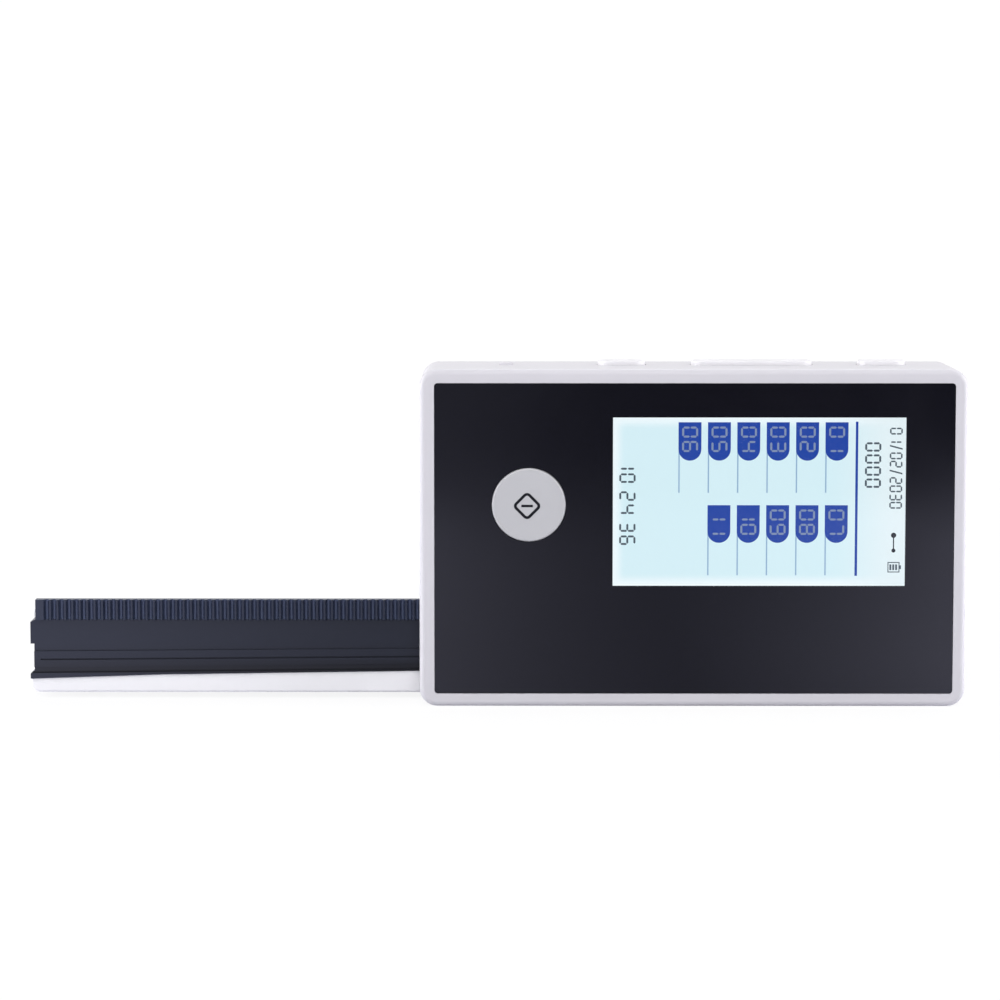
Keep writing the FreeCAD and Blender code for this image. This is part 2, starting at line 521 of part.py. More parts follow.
def key_cap(x, length):
    """A key's cap, and the flange that holds it under the wall."""
    cap = key_block(x, length, 0, f"{flange_low}+sink", key_top)
    cap = rounded(cap, size("key_rounding"), lambda e: at_level(e, "z", key_level))
    return cap, key_block(x, length, "key_flange_width", flange_low, flange_top)


def key_post(x):
    """The post that reaches from a key's flange to just above its plunger."""
    low = f"({key_plunger_z1}+contact_gap)"
    return rod("z", x, key_y, low, "key_post_radius", f"{flange_low}+sink-{low}")


def key_plunger(x):
    return rod("z", x, key_y, f"{key_plunger_z0}-key_plunger_inside", "key_plunger_radius",
               "key_plunger_length+key_plunger_inside")


def dimple(x):
    """A shallow finger mark in a key's top."""
    ball = doc.addObject("Part::Sphere", "Dimple")
    ball.setExpression("Radius", linked("dimple_radius"))
    return place(ball, x, key_y, f"{key_top}+dimple_radius-dimple_depth")


for key in ("left_key", "right_key"):
    x, length = KEYS[key]
    cap, flange = key_cap(x, length)
    name(cut(join(cap, flange, key_post(x)), dimple(x)), key)
    name(key_plunger(x), f"{key}_plunger")

pin_z = "(body_height-pin_drop)"
rocker_ends = [f"({rocker_x}-rocker_arm)", f"({rocker_x}+rocker_arm)"]
cap, flange = key_cap(rocker_x, "rocker_length")
hub = rod("y", rocker_x, f"{key_y}-key_width/2+hub_inset", pin_z, "pin_radius+hub_wall",
          "key_width-2*hub_inset")
middle_x = -left_x - size("key_inset") - size("key_pitch")
relief_end = size("rocker_length") / 2 + size("key_flange_width") + over
relief_angle = math.radians(size("rocker_tilt") + size("relief_spare"))
relief_fall = (relief_end - size("relief_start")) * math.tan(relief_angle)
wall_z = size("body_height") - size("side_wall")
relief = [prism("y", [(middle_x + side * size("relief_start"), wall_z),
                      (middle_x + side * relief_end, wall_z - relief_fall),
                      (middle_x + side * relief_end, wall_z)],
                front_y + size("key_depth") - size("key_width"), 2 * size("key_width"))
          for side in (1, -1)]
pin_hole = rod("y", rocker_x, f"{key_y}-key_width", pin_z, "pin_radius", "2*key_width")
rocker = join(cut(cap, *[dimple(x) for x in rocker_ends]), cut(flange, *relief), hub,
              *[key_post(x) for x in rocker_ends])
name(cut(rocker, pin_hole), "rocker_key")
for side, x in zip(("left", "right"), rocker_ends):
    name(key_plunger(x), f"rocker_plunger_{side}")
ear_out = "(key_width/2+ear_gap+ear_wall)"
ear_x0, ear_x1 = f"({rocker_x}-ear_width/2)", f"({rocker_x}+ear_width/2)"
name(rod("y", rocker_x, f"{key_y}-{ear_out}", pin_z, "pin_radius", f"2*{ear_out}"), "rocker_pin")
bracket = [span(ear_x0, ear_x1, f"{key_y}-{ear_out}", f"{key_y}+{ear_out}", key_board_z1,
                f"{key_board_z1}+ear_wall")]
for low in (f"({key_y}-{ear_out})", f"({key_y}+{ear_out}-ear_wall)"):
    bracket.append(span(ear_x0, ear_x1, low, f"{low}+ear_wall", key_board_z1, f"{pin_z}+ear_head"))
ear_hole = rod("y", rocker_x, f"{key_y}-key_width", pin_z, "pin_radius+pin_gap", "2*key_width")
name(cut(join(*bracket), ear_hole), "rocker_bracket")
name(span(key_board_x0, key_board_x1, f"{key_y}-key_board_width/2", f"{key_y}+key_board_width/2",
          key_board_z0, key_board_z1), "key_board")
half = "key_switch_width/2"
switches = [cut(span(f"{x}-{half}", f"{x}+{half}", f"{key_y}-{half}", f"{key_y}+{half}",
                     key_board_z1, key_plunger_z0),
                rod("z", x, key_y, f"{key_plunger_z0}-key_plunger_inside-key_travel-slip",
                    "key_plunger_radius+slip", "key_switch_height"))
            for x in (left_key_x, right_key_x, *rocker_ends)]
name(join(*switches), "key_switches")

# ---------------------------------------------------------------- drawer
bed_back = depth("bed_back_depth")
base_front, base_back = depth("base_front_depth"), depth("base_back_depth")
rack_tip = depth("rack_tip_depth")
tip_y = front_y + size("rack_tip_depth")
knee_x = outer_x + size("seat_knee")


def seat_line(offset):
    """The line on which the bed sits in its base: it rises quickly, then slowly."""
    return [(outer_x, size("seat_outer") + offset), (knee_x, size("seat_knee_height") + offset),
            (inner_x, size("seat_inner") + offset)]


bottom = size("drawer_bottom")
block = prism("y", [(outer_x, bottom)] + seat_line(0) + [(inner_x, bottom)],
              front_y + size("base_front_depth"),
              size("base_back_depth") - size("base_front_depth"))
block = rounded(block, size("base_end_radius"),
                lambda e: runs_along(e, "y") and at_level(e, "z", bottom) and at_level(e, "x", outer_x))
block = rounded(block, size("base_edge_radius"), lambda e: at_level(e, "z", bottom)
                and at_level(e, "y", front_y + size("base_front_depth")))
wall = rounded(span(outer, inner, f"{bed_back}+bed_gap", base_back, "drawer_bottom", "base_back_top"),
               size("base_end_radius"), lambda e: runs_along(e, "y") and at_level(e, "x", outer_x))
pocket_length = f"(({inner}-{outer}-2*base_wall-(base_pockets-1)*base_rib)/base_pockets)"
pockets = []
for n in range(int(size("base_pockets"))):
    low = f"({outer}+base_wall+{n}*({pocket_length}+base_rib))"
    pockets.append(span(low, f"{low}+{pocket_length}", f"{base_front}+base_wall", bed_back,
                        "drawer_bottom-overcut", "drawer_bottom+base_pocket_depth"))
stop_groove = span(f"{outer}+stop_start", f"{inner}-stop_length-stop_wall",
                   f"{base_back}-stop_groove", f"{base_back}+overcut", "stop_bottom-stop_gap",
                   "stop_bottom+stop_height+stop_gap")
name(cut(join(block, wall), *pockets, stop_groove), "drawer_base")

end_x = outer_x + size("end_gap")
rack_end_x = outer_x + size("rack_end_step")
foot_x = outer_x + size("foot_step")
profile = seat_line(size("bed_gap"))
profile[0] = (end_x, profile[0][1])
profile += [(inner_x, size("drawer_top")), (rack_end_x, size("drawer_top")),
            (rack_end_x, size("rack_bottom")),
            (end_x, size("rack_bottom") - size("tab_slant")), (end_x, size("tab_bottom")),
            (foot_x, size("tab_bottom")), (foot_x, size("foot_top")),
            (end_x, size("foot_top") - size("foot_slant"))]
bed = prism("y", profile, tip_y, size("bed_back_depth") - size("rack_tip_depth"))


def along_bed(start_x, floor_depth, low, high, low_rise, high_rise):
    """A cutter from the front along the bed; its two edges may rise towards the inner end."""
    points = [(start_x, low), (inner_x + over, low + low_rise), (inner_x + over, high + high_rise),
              (start_x, high)]
    return prism("y", points, tip_y - over, front_y + floor_depth - tip_y + over)


rack_low = size("rack_bottom")
line_rise = size("line_rise")
channel = along_bed(outer_x - over, size("channel_depth"), size("channel_bottom"), rack_low,
                    line_rise, 0)
ledge = along_bed(outer_x - over, size("ledge_depth"), bottom, rack_low, 0, 0)
groove_low = size("groove_height") - size("groove_width") / 2
groove = along_bed(outer_x + size("groove_start"), size("ledge_depth") + size("groove_depth"),
                   groove_low, groove_low + size("groove_width"), line_rise, line_rise)
cove = along_bed(outer_x - over, size("ledge_depth") + size("cove_depth"), size("cove_bottom"),
                 size("cove_top"), size("cove_rise"), size("cove_rise"))


def rack_gaps():
    """The spaces between the rack's teeth, one prism each."""
    root = tip_y + 2.25 * module
    slope = math.tan(pressure)
    narrow = pitch / 4 + size("backlash") / 4 - 1.25 * module * slope
    wide = pitch / 4 + size("backlash") / 4 + (module + size("sink")) * slope
    mouth = tip_y - size("sink")
    first = math.ceil((rack_end_x + pitch / 2 - pinion_x) / pitch)
    last = math.floor((inner_x - pitch / 2 - pinion_x) / pitch)
    gaps = []
    for n in range(first, last + 1):
        x = pinion_x + n * pitch
        corners = [Vector(x - wide, mouth, rack_low - over), Vector(x - narrow, root, rack_low - over),
                   Vector(x + narrow, root, rack_low - over), Vector(x + wide, mouth, rack_low - over)]
        face = Part.Face(Part.makePolygon(corners + corners[:1]))
        gaps.append(face.extrude(Vector(0, 0, size("drawer_top") - rack_low + 2 * over)))
    return gaps


gap_block = doc.addObject("Part::Feature", "RackGaps")
gap_block.Shape = Part.makeCompound(rack_gaps())
behind_rack = span(f"{outer}-overcut", f"{inner}+overcut", depth("rack_wall_depth"),
                   f"{bed_back}+overcut", "bed_back_top", "drawer_top+overcut")
hollow = span(f"{outer}+2*bed_wall", f"{inner}-2*bed_wall", f"{depth('channel_depth')}+bed_wall",
              f"{bed_back}+overcut", "seat_inner+bed_wall", "bed_back_top-bed_wall")
tile_x0 = f"({inner}-tile_inset-tile_length)"
tile_y0 = f"({depth('channel_depth')}-tile_proud)"
tile_z0 = "((channel_bottom+line_rise+rack_bottom-tile_width)/2)"
tile_pocket = span(f"{tile_x0}-tile_gap", f"{tile_x0}+tile_length+tile_gap",
                   f"{tile_y0}-tile_gap", f"{tile_y0}+tile_thickness+tile_gap",
                   f"{tile_z0}-tile_gap", f"{tile_z0}+tile_width+tile_gap")
name(cut(bed, channel, ledge, groove, cove, gap_block, behind_rack, hollow, tile_pocket),
     "strip_bed")
name(span(tile_x0, f"{tile_x0}+tile_length", tile_y0, f"{tile_y0}+tile_thickness",
          tile_z0, f"{tile_z0}+tile_width"), "reference_tile")
flag_y = f"({bed_back}+flag_depth)"
name(span(inner, f"{inner}+flag_length", f"{flag_y}-flag_thickness/2", f"{flag_y}+flag_thickness/2",
          "stop_bottom-flag_height-flag_drop", "stop_bottom-flag_drop"), "sensor_flag")

# ---------------------------------------------------------------- drive


def gear_outline(module, teeth, shift, backlash):
    """A closed involute tooth outline around the origin."""
    pitch_radius = module * teeth / 2
    base = pitch_radius * math.cos(pressure)
    tip = pitch_radius + module * (1 + shift)
    root = pitch_radius - module * (1.25 - shift)
    thickness = math.pi * module / 2 + 2 * shift * module * math.tan(pressure) - backlash / 2
    half_angle = thickness / (2 * pitch_radius) + math.tan(pressure) - pressure
    low = max(base, root) + 1e-4
    deep = root < low - 1e-3
    radii = [low + (tip - low) * n / 4 for n in range(5)]

    def flank(radius):
        angle = math.acos(min(1.0, base / radius))
        return half_angle - (math.tan(angle) - angle)

    def point(radius, angle):
        return Vector(radius * math.cos(angle), radius * math.sin(angle), 0)

    def curve(points):
        spline = Part.BSplineCurve()
        spline.interpolate(points)
        return spline.toShape()

    edges = []
    for tooth in range(teeth):
        middle = 2 * math.pi * tooth / teeth
        rising = middle - flank(low)
        falling = middle + flank(low)
        following = middle + 2 * math.pi / teeth - flank(low)
        up = [point(r, middle - flank(r)) for r in radii]
        down = [point(r, middle + flank(r)) for r in reversed(radii)]
        edges += [curve(up), Part.Arc(up[-1], point(tip, middle), down[0]).toShape(), curve(down)]
        floor = root if deep else low
        if deep:
            edges.append(Part.LineSegment(point(root, rising), up[0]).toShape())
            edges.append(Part.LineSegment(down[-1], point(root, falling)).toShape())
        edges.append(Part.Arc(point(floor, falling), point(floor, (falling + following) / 2),
                              point(floor, following)).toShape())
    return Part.Wire(Part.__sortEdges__(edges))


def gear(module, teeth, shift, backlash, face_width, turn):
    solid = Part.Face(gear_outline(module, int(teeth), shift, backlash)).extrude(Vector(0, 0, face_width))
    solid.rotate(Vector(), Vector(0, 0, 1), turn)
    return solid


pair = doc.addObject("Part::Feature", "GearPair")
hub = Part.makeCylinder(size("gear_hub_radius"), gear_top - pinion_low)
pinion = gear(module, size("pinion_teeth"), size("pinion_shift"), size("backlash"),
              size("pinion_face"), 90)
wheel = gear(size("wheel_module"), size("wheel_teeth"), 0, size("wheel_backlash"),
             size("wheel_face"), mesh_angle)
wheel.translate(Vector(0, 0, wheel_low - pinion_low))
bore = Part.makeCylinder(size("axle_radius") + size("axle_gap"), gear_top - pinion_low + 2 * over,
                         Vector(0, 0, -over))
pair.Shape = pinion.fuse([hub, wheel]).removeSplitter().cut(bore)
pair.Placement = Placement(Vector(pinion_x, pinion_y, pinion_low), Rotation())
name(pair, "drive_gear")

drive = doc.addObject("Part::Feature", "MotorGear")
spin = gear(size("wheel_module"), size("motor_teeth"), 0, size("wheel_backlash"),
            size("wheel_face"), mesh_angle + 180 + 180 / size("motor_teeth"))
drive.Shape = spin.cut(Part.makeCylinder(size("motor_shaft_radius"), size("wheel_face") + 2 * over,
                                         Vector(0, 0, -over)))
drive.Placement = Placement(Vector(motor_x, motor_y, wheel_low), Rotation())
name(drive, "motor_pinion")

can = rod("z", motor_x, motor_y, plate_top, "motor_radius", "motor_length")
can = rounded(can, size("motor_rounding"), lambda e: at_level(e, "z", plate_top + size("motor_length")))
collar = rod("z", motor_x, motor_y, f"{plate_top}-collar_length", "collar_radius",
             "collar_length+sink")
shaft_room = rod("z", motor_x, motor_y, f"{plate_top}-overcut", "motor_shaft_radius+axle_gap",
                 "2*overcut+motor_shaft_inside")
name(cut(join(can, collar), shaft_room), "motor")
name(rod("z", motor_x, motor_y, wheel_low, "motor_shaft_radius",
         f"{plate_top - wheel_low}+motor_shaft_inside"), "motor_shaft")
plate_y0, plate_y1 = depth("plate_front_depth"), depth("plate_back_depth")
foot_y = f"({INNER_FACE}+bracket_post)"
bracket = [
    span(f"{motor_x}-motor_radius-sink", web_end, plate_y0, plate_y1, plate_low, plate_top),
    span(f"{pinion_x}-plate_reach", web_end, plate_y0, plate_y1, lower_low, lower_top),
    span(web_x, web_end, plate_y0, plate_y1, lower_low, plate_top),
    span(web_x, f"{web_end}+bracket_foot", foot_y, f"{foot_y}+plate_thickness", lower_low, plate_top),
]
tall = plate_top - lower_low
axle_hole = rod("z", pinion_x, pinion_y, f"{lower_low}-overcut", "axle_radius", f"{tall}+2*overcut")
collar_hole = rod("z", motor_x, motor_y, f"{plate_low}-overcut", "collar_radius+slip",
                  "plate_thickness+2*overcut")
screw_holes = [rod("y", x, INNER_FACE, z, "small_screw_radius+slip",
                   "bracket_post+plate_thickness+overcut") for x, z in BRACKET_SCREWS]
name(cut(join(*bracket), axle_hole, collar_hole, *screw_holes), "drive_bracket")
name(rod("z", pinion_x, pinion_y, lower_low, "axle_radius", tall), "gear_axle")

# ---------------------------------------------------------------- guides, stop and sensor
stop_x = f"({inner}-2*stop_length-stop_wall-stop_play)"
rail = [
    span(rail_x0, rail_x1, rail_web, rail_back, "side_wall+slip", f"{bay_top}+rail_thickness"),
    span(rail_x0, rail_x1, depth("rail_flange_depth"), rail_back, bay_top, f"{bay_top}+rail_thickness"),
    span(stop_x, f"{stop_x}+stop_length", f"{rail_web}-stop_groove", rail_back,
         "stop_bottom", "stop_bottom+stop_height"),
]
screw_holes = [rod("y", x, f"{rail_web}-overcut", z, "small_screw_radius+slip",
                   "rail_thickness+2*overcut") for x, z in RAIL_SCREWS]
sinks = [rod("y", x, f"{rail_web}-overcut", z, "small_head_radius+slip", "overcut+small_head")
         for x, z in RAIL_SCREWS]
name(cut(join(*rail), *screw_holes, *sinks), "rear_guide_rail")
name(span(rail_x0, rail_x1, f"{SEAM}+tongue_length+front_rail_gap", f"{base_front}-rail_gap",
          "side_wall+front_rail_lift", "front_rail_top"), "front_guide_rail")
sensor_x0, sensor_x1 = f"({RIGHT}-drawer_end_room+sensor_gap)", f"({RIGHT}-side_wall-sensor_end_gap)"
name(cut(
    span(sensor_x0, sensor_x1, f"{flag_y}-sensor_front", f"{flag_y}+sensor_back",
         "stop_bottom-flag_height-flag_drop-sensor_base", "stop_bottom+sensor_top"),
    span(f"{sensor_x0}-overcut", f"{sensor_x0}+flag_length", f"{flag_y}-flag_thickness/2-sensor_slot",
         f"{flag_y}+flag_thickness/2+sensor_slot",
         "stop_bottom-flag_height-flag_drop-sensor_base-overcut", "stop_bottom+sensor_top+overcut")),
    "drawer_sensor")

# ---------------------------------------------------------------- main board and what it carries
board = join(span(step_x, board_x1, board_front, board_back, "board_bottom", board_z1),
             span(board_x0, f"{step_x}+board_lap", board_front, board_back, "board_step_bottom",
                  board_z1),
             span(f"{board_x1}-board_lap", tab_x1, board_front, board_back, "board_tab_bottom",
                  board_z1))
board_holes = [rod("y", x, f"{board_front}-overcut", z, "small_screw_radius+screw_clear",
                   "board_thickness+2*overcut") for x, z in BOARD_POSTS]
name(cut(board, *board_holes), "main_board")


def on_board(x, z, length, height, tall):
    """A block that sits on the board's back, from its centre."""
    return span(f"{x}-{length}/2", f"{x}+{length}/2", board_back, f"{board_back}+{tall}",
                f"{z}-{height}/2", f"{z}+{height}/2")


chips = [on_board(f"({board_x1}-{part}_right)", f"({board_z1}-{part}_down)", f"{part}_side",
                  f"{part}_side", f"{part}_tall")
         for part in ("processor", "driver", "amplifier", "regulator", "charger")]
for n in range(int(size("passive_count"))):
    chips.append(on_board(f"({board_x1}-row_right+{n}*row_step)", f"({board_z1}-row_down)",
                          "passive_length", "passive_width", "passive_tall"))
    chips.append(on_board(f"({board_x1}-column_right+{n}*column_step)", f"({board_z1}-column_down)",
                          "passive_width", "passive_length", "passive_tall"))
name(join(*chips), "board_chips")
name(rod("y", f"{board_x0}+buzzer_left", board_back, f"{board_z1}-buzzer_down", "buzzer_radius",
         "buzzer_tall"), "buzzer")
plug_x, plug_z = f"({board_x1}-plug_right)", f"({board_z1}-plug_down)"
name(cut(on_board(plug_x, plug_z, "plug_length", "plug_height", "plug_tall"),
         span(f"{plug_x}-plug_length/2+plug_wall", f"{plug_x}+plug_length/2-plug_wall",
              f"{board_back}+plug_wall", f"{board_back}+plug_tall+overcut",
              f"{plug_z}-plug_height/2+plug_wall", f"{plug_z}+plug_height/2-plug_wall")),
     "battery_socket")
usb_x1 = f"({RIGHT}-usb_setback)"
usb_x0 = f"({usb_x1}-usb_length)"
usb_z0, usb_z1 = "(usb_place-usb_width/2)", "(usb_place+usb_width/2)"
usb_shell = cut(
    rounded(span(usb_x0, usb_x1, board_back, f"{board_back}+usb_height", usb_z0, usb_z1),
            size("usb_rounding"), lambda e: runs_along(e, "x")),
    rounded(span(f"{usb_x0}+usb_floor", f"{usb_x1}+overcut", f"{board_back}+usb_wall",
                 f"{board_back}+usb_height-usb_wall", f"{usb_z0}+usb_wall", f"{usb_z1}-usb_wall"),
            size("usb_rounding") - size("usb_wall"), lambda e: runs_along(e, "x")))
usb_tongue = span(f"{usb_x0}+usb_floor/2", f"{usb_x1}-usb_tongue_setback",
                  f"{usb_y}-usb_tongue_thickness/2", f"{usb_y}+usb_tongue_thickness/2",
                  "usb_place-usb_tongue_width/2", "usb_place+usb_tongue_width/2")
name(join(usb_shell, usb_tongue), "usb_socket")

# ---------------------------------------------------------------- battery
name(rounded(span(battery_x0, battery_x1, battery_y0, battery_y1, battery_z0, battery_z1),
             size("battery_rounding"), lambda e: runs_along(e, "x")), "battery_pack")

# ---------------------------------------------------------------- reading head
block_back = depth("optics_back_depth")
block_front = f"({block_back}-optics_block)"
optics_z1 = "(optics_bottom+optics_height)"
sight_z = "((channel_bottom+line_rise+rack_bottom)/2)"
SIGHTS = [(optics_middle, "sensor_sight", "sensor_tall"),
          (f"{optics_middle}-sight_offset", "lamp_sight", "lamp_tall"),
          (f"{optics_middle}+sight_offset", "lamp_sight", "lamp_tall")]
block = rounded(span(optics_x0, optics_x1, block_front, block_back, "optics_bottom", optics_z1),
                size("optics_rounding"), lambda e: runs_along(e, "y"))
sights = [rod("y", x, f"{block_front}-overcut", sight_z, radius, "optics_block+2*overcut")
          for x, radius, tall in SIGHTS]
name(cut(block, *sights), "optical_block")
ears = span(f"{optics_x0}-optics_ear", f"{optics_x1}+optics_ear", optics_board_front, block_front,
            "optics_bottom", optics_z1)
ear_holes = [rod("y", x, f"{optics_board_front}-overcut", z, "small_screw_radius+screw_clear",
                 "optics_board+2*overcut") for x, z in OPTICS_SCREWS]
name(cut(ears, *ear_holes), "optical_board")
name(join(*[rod("y", x, block_front, sight_z, f"{radius}-sight_gap", tall)
            for x, radius, tall in SIGHTS]), "light_and_sensor")

# ---------------------------------------------------------------- fasteners and trim
CROSS_SPAN, CROSS_DEPTH, CROSS_WIDTH = 1.2, 0.6, 0.28  # shares of a head's radius and height


def screw_blank(head_radius, head, radius, length):
    """A pan-head screw along +Y from the underside of its head, with a cross recess."""
    solid = Part.makeCylinder(radius, length, Vector(), Vector(0, 1, 0)).fuse(
        Part.makeCylinder(head_radius, head, Vector(0, -head, 0), Vector(0, 1, 0)))
    reach, thin = head_radius * CROSS_SPAN, head_radius * CROSS_WIDTH
    for turn in (0, 90):
        slot = Part.makeBox(reach, head * CROSS_DEPTH, thin, Vector(-reach / 2, -head, -thin / 2))
        slot.rotate(Vector(), Vector(0, 1, 0), turn)
        solid = solid.cut(slot)
    return solid.removeSplitter()


def screws(label, turn, spots, level, head_radius, head, radius, length):
    """Equal screws at several places, as separate solids of one sub-part."""
    solid = screw_blank(head_radius, head, radius, length)
    solid.rotate(Vector(), Vector(0, 0, 1), turn)
    group = []
    for x, z in spots:
        item = doc.addObject("Part::Feature", "Screw")
        item.Shape = solid
        group.append(place(item, x, level, z))
    name(join(*group), label)


small = (size("small_head_radius"), size("small_head"), size("small_screw_radius"))
rail_screw_length = (size("body_depth") - size("back_wall") + size("rail_bite")
                     - size("base_back_depth") - size("rail_gap") - size("small_head"))
screws("case_screws", 180, BOSSES, f"{SEAM}+screw_seat", size("screw_head_radius"),
       size("screw_head"), size("screw_radius"), size("screw_length"))
screws("board_screws", 180, BOARD_POSTS, board_back, *small, size("board_screw_length"))
screws("bracket_screws", 180, BRACKET_SCREWS, f"{foot_y}+plate_thickness", *small,
       size("bracket_screw_length"))
screws("optics_screws", 180, OPTICS_SCREWS, block_front, *small, size("optics_screw_length"))
screws("rail_screws", 0, RAIL_SCREWS, f"{rail_web}+small_head", *small, rail_screw_length)
feet = [rounded(rod("y", x, foot_front, z, "foot_radius", "foot_thickness"), size("foot_rounding"),
                lambda e: at_level(e, "y", back_y + size("foot_proud"))) for x, z in FEET]
name(join(*feet), "rubber_feet")
name(span("-label_length/2+slip", "label_length/2-slip", f"{BACK}-label_thickness", f"{BACK}-slip",
          "body_height/2-label_height/2+slip", "body_height/2+label_height/2-slip"), "rating_plate")

# ---------------------------------------------------------------- check and write
doc.recompute()
faults = [item.Name for item in doc.Objects if "Invalid" in item.State or "Error" in item.State]
for item in finished:
    if item.Shape.isNull() or not item.Shape.isValid():
        faults.append(item.Label)
if faults:
    raise RuntimeError("these did not build: " + ", ".join(faults))
os.makedirs("parts", exist_ok=True)
for item in finished:
    item.Shape.exportStep(f"parts/{item.Label}.step")
print(len(finished), "sub-parts,", sum(len(item.Shape.Solids) for item in finished), "solids")
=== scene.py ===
# %% [markdown]
# # A pocket strip reader
# A urine analyzer is a small light reader. A paper strip lies in the channel of a drawer, a little
# motor draws the drawer in under a reading head, and the display shows one value for each pad.
# The engineering model is already fixed in millimetres, so this lesson only dresses it: moulded
# plastics, a gloss panel, a lit display and printed marks. Everything is in metres.

# %% Load the frame
import math

import bmesh
import bpy
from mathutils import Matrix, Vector


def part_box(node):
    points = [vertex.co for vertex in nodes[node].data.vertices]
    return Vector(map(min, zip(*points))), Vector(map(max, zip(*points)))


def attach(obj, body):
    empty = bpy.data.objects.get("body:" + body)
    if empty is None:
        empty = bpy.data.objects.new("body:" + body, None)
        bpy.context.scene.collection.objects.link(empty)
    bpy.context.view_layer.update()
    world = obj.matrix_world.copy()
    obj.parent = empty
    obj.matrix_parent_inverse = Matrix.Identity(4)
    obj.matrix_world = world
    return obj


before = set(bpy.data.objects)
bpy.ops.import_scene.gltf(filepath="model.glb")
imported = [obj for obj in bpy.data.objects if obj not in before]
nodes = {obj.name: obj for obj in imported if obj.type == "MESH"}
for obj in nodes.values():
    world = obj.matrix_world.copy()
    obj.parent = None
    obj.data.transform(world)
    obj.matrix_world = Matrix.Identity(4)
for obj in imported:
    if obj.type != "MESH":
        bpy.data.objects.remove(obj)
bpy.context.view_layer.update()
MM = 0.001

# %% [markdown]
# ## Helpers for materials
# Paint charts give colours as sRGB hex values, while Blender's sockets want linear light, so one
# function converts. Another adds a node together with its settings and its links. With these two,
# a material reads like its recipe. `SMOOTH` is the setting of a step with soft ends.

# %% Colour and node helpers
SMOOTH = {"interpolation_type": "SMOOTHSTEP"}


def srgb(code):
    """A hex colour as the linear values that a socket expects."""
    parts = [int(code[n:n + 2], 16) / 255 for n in (1, 3, 5)]
    return [p / 12.92 if p <= 0.04045 else ((p + 0.055) / 1.055) ** 2.4 for p in parts] + [1.0]


def add(tree, kind, settings=None, *in_order, **by_name):
    """Adds one node; its inputs are values or other nodes' outputs, given in order or by name."""
    node = tree.nodes.new(kind)
    for key, value in (settings or {}).items():
        setattr(node, key, value)
    inputs = list(zip(node.inputs, in_order))
    inputs += [(node.inputs[key.replace("_", " ")], value) for key, value in by_name.items()]
    for socket, value in inputs:
        if isinstance(value, bpy.types.NodeSocket):
            tree.links.new(value, socket)
        else:
            socket.default_value = value
    return node


def new_material(title, **shader):
    """A material with one Principled BSDF; returns the material, its tree and the shader."""
    material = bpy.data.materials.new(title)
    material.use_nodes = True
    tree = material.node_tree
    surface = tree.nodes["Principled BSDF"]
    for key, value in shader.items():
        surface.inputs[key.replace("_", " ")].default_value = value
    return material, tree, surface


def dress(material, *names):
    """Puts a material on CAD parts by name."""
    for title in names:
        slots = nodes[title].data.materials
        if not slots:
            slots.append(material)
        for n in range(len(slots)):
            slots[n] = material


print("a middle grey in linear light:", round(srgb("#808080")[0], 3))

# %% [markdown]
# ## Moulded ABS
# The housing is injection-moulded ABS. The tool is spark eroded, which leaves a fine, even grain of
# about a third of a millimetre, and the colour is a white with a breath of violet. A scanned grain
# could do this, but it would need a seam and a repeat. Two noises have neither: a fine one is the
# grain's bump, and a slow one is the faint change of tone and sheen that any large moulding has
# where the plastic cooled at different speeds. The same recipe, with other numbers, gives acetal,
# rubber, solder mask and film.

# %% The recipe of a moulding
CLOUD_SIZE = 18 * MM
GLOSS_BELOW, GLOSS_ABOVE = 0.04, 0.05
GRAIN_STRENGTH = 0.35


def moulded(title, colour, tint, roughness, grain_mm, height_mm, **shader):
    """Moulded plastic: two close tones in slow clouds, uneven gloss and a spark-eroded grain."""
    material, tree, surface = new_material(title, Roughness=roughness, IOR=1.5, **shader)
    place = add(tree, "ShaderNodeTexCoord").outputs["Object"]
    clouds = add(tree, "ShaderNodeTexNoise", Vector=place, Scale=1 / CLOUD_SIZE, Detail=2.0)
    tones = add(tree, "ShaderNodeMix", {"data_type": "RGBA"}, Factor=clouds.outputs["Fac"],
                A=srgb(colour), B=srgb(tint))
    gloss = add(tree, "ShaderNodeMapRange", Value=clouds.outputs["Fac"],
                To_Min=roughness - GLOSS_BELOW, To_Max=roughness + GLOSS_ABOVE)
    grain = add(tree, "ShaderNodeTexNoise", Vector=place, Scale=1 / (grain_mm * MM), Detail=3.0,
                Roughness=0.6)
    bump = add(tree, "ShaderNodeBump", Height=grain.outputs["Fac"], Strength=GRAIN_STRENGTH,
               Distance=height_mm * MM)
    tree.links.new(tones.outputs["Result"], surface.inputs["Base Color"])
    tree.links.new(gloss.outputs["Result"], surface.inputs["Roughness"])
    tree.links.new(bump.outputs["Normal"], surface.inputs["Normal"])
    return material


# %% White mouldings: the case, the drawer's base and the keys
# the case: a cool off-white, satin from the eroded tool
white_abs = moulded("White_ABS_fine_grain", "#D8D6DB", "#DCDADF", 0.38, 0.30, 0.010)
dress(white_abs, "front_shell", "back_shell")
# the drawer's base: a purer white than the case
drawer_abs = moulded("White_ABS_drawer", "#FBFAFC", "#FDFDFE", 0.36, 0.30, 0.008)
dress(drawer_abs, "drawer_base")
# the keys: a little whiter and smoother than the case, as a finger keeps them polished
key_abs = moulded("White_ABS_keys", "#EAE8EB", "#EEEDEF", 0.34, 0.30, 0.006)
dress(key_abs, "left_key", "right_key", "rocker_key")

# %% Dark mouldings, acetal, rubber and the white tile
# dyed in the mass: a deep blue-black with little gloss, so that the strip's channel stays dark
bed_abs = moulded("Blue_black_ABS", "#30374A", "#343B4E", 0.40, 0.25, 0.008,
                  Specular_IOR_Level=0.28)
dress(bed_abs, "strip_bed")
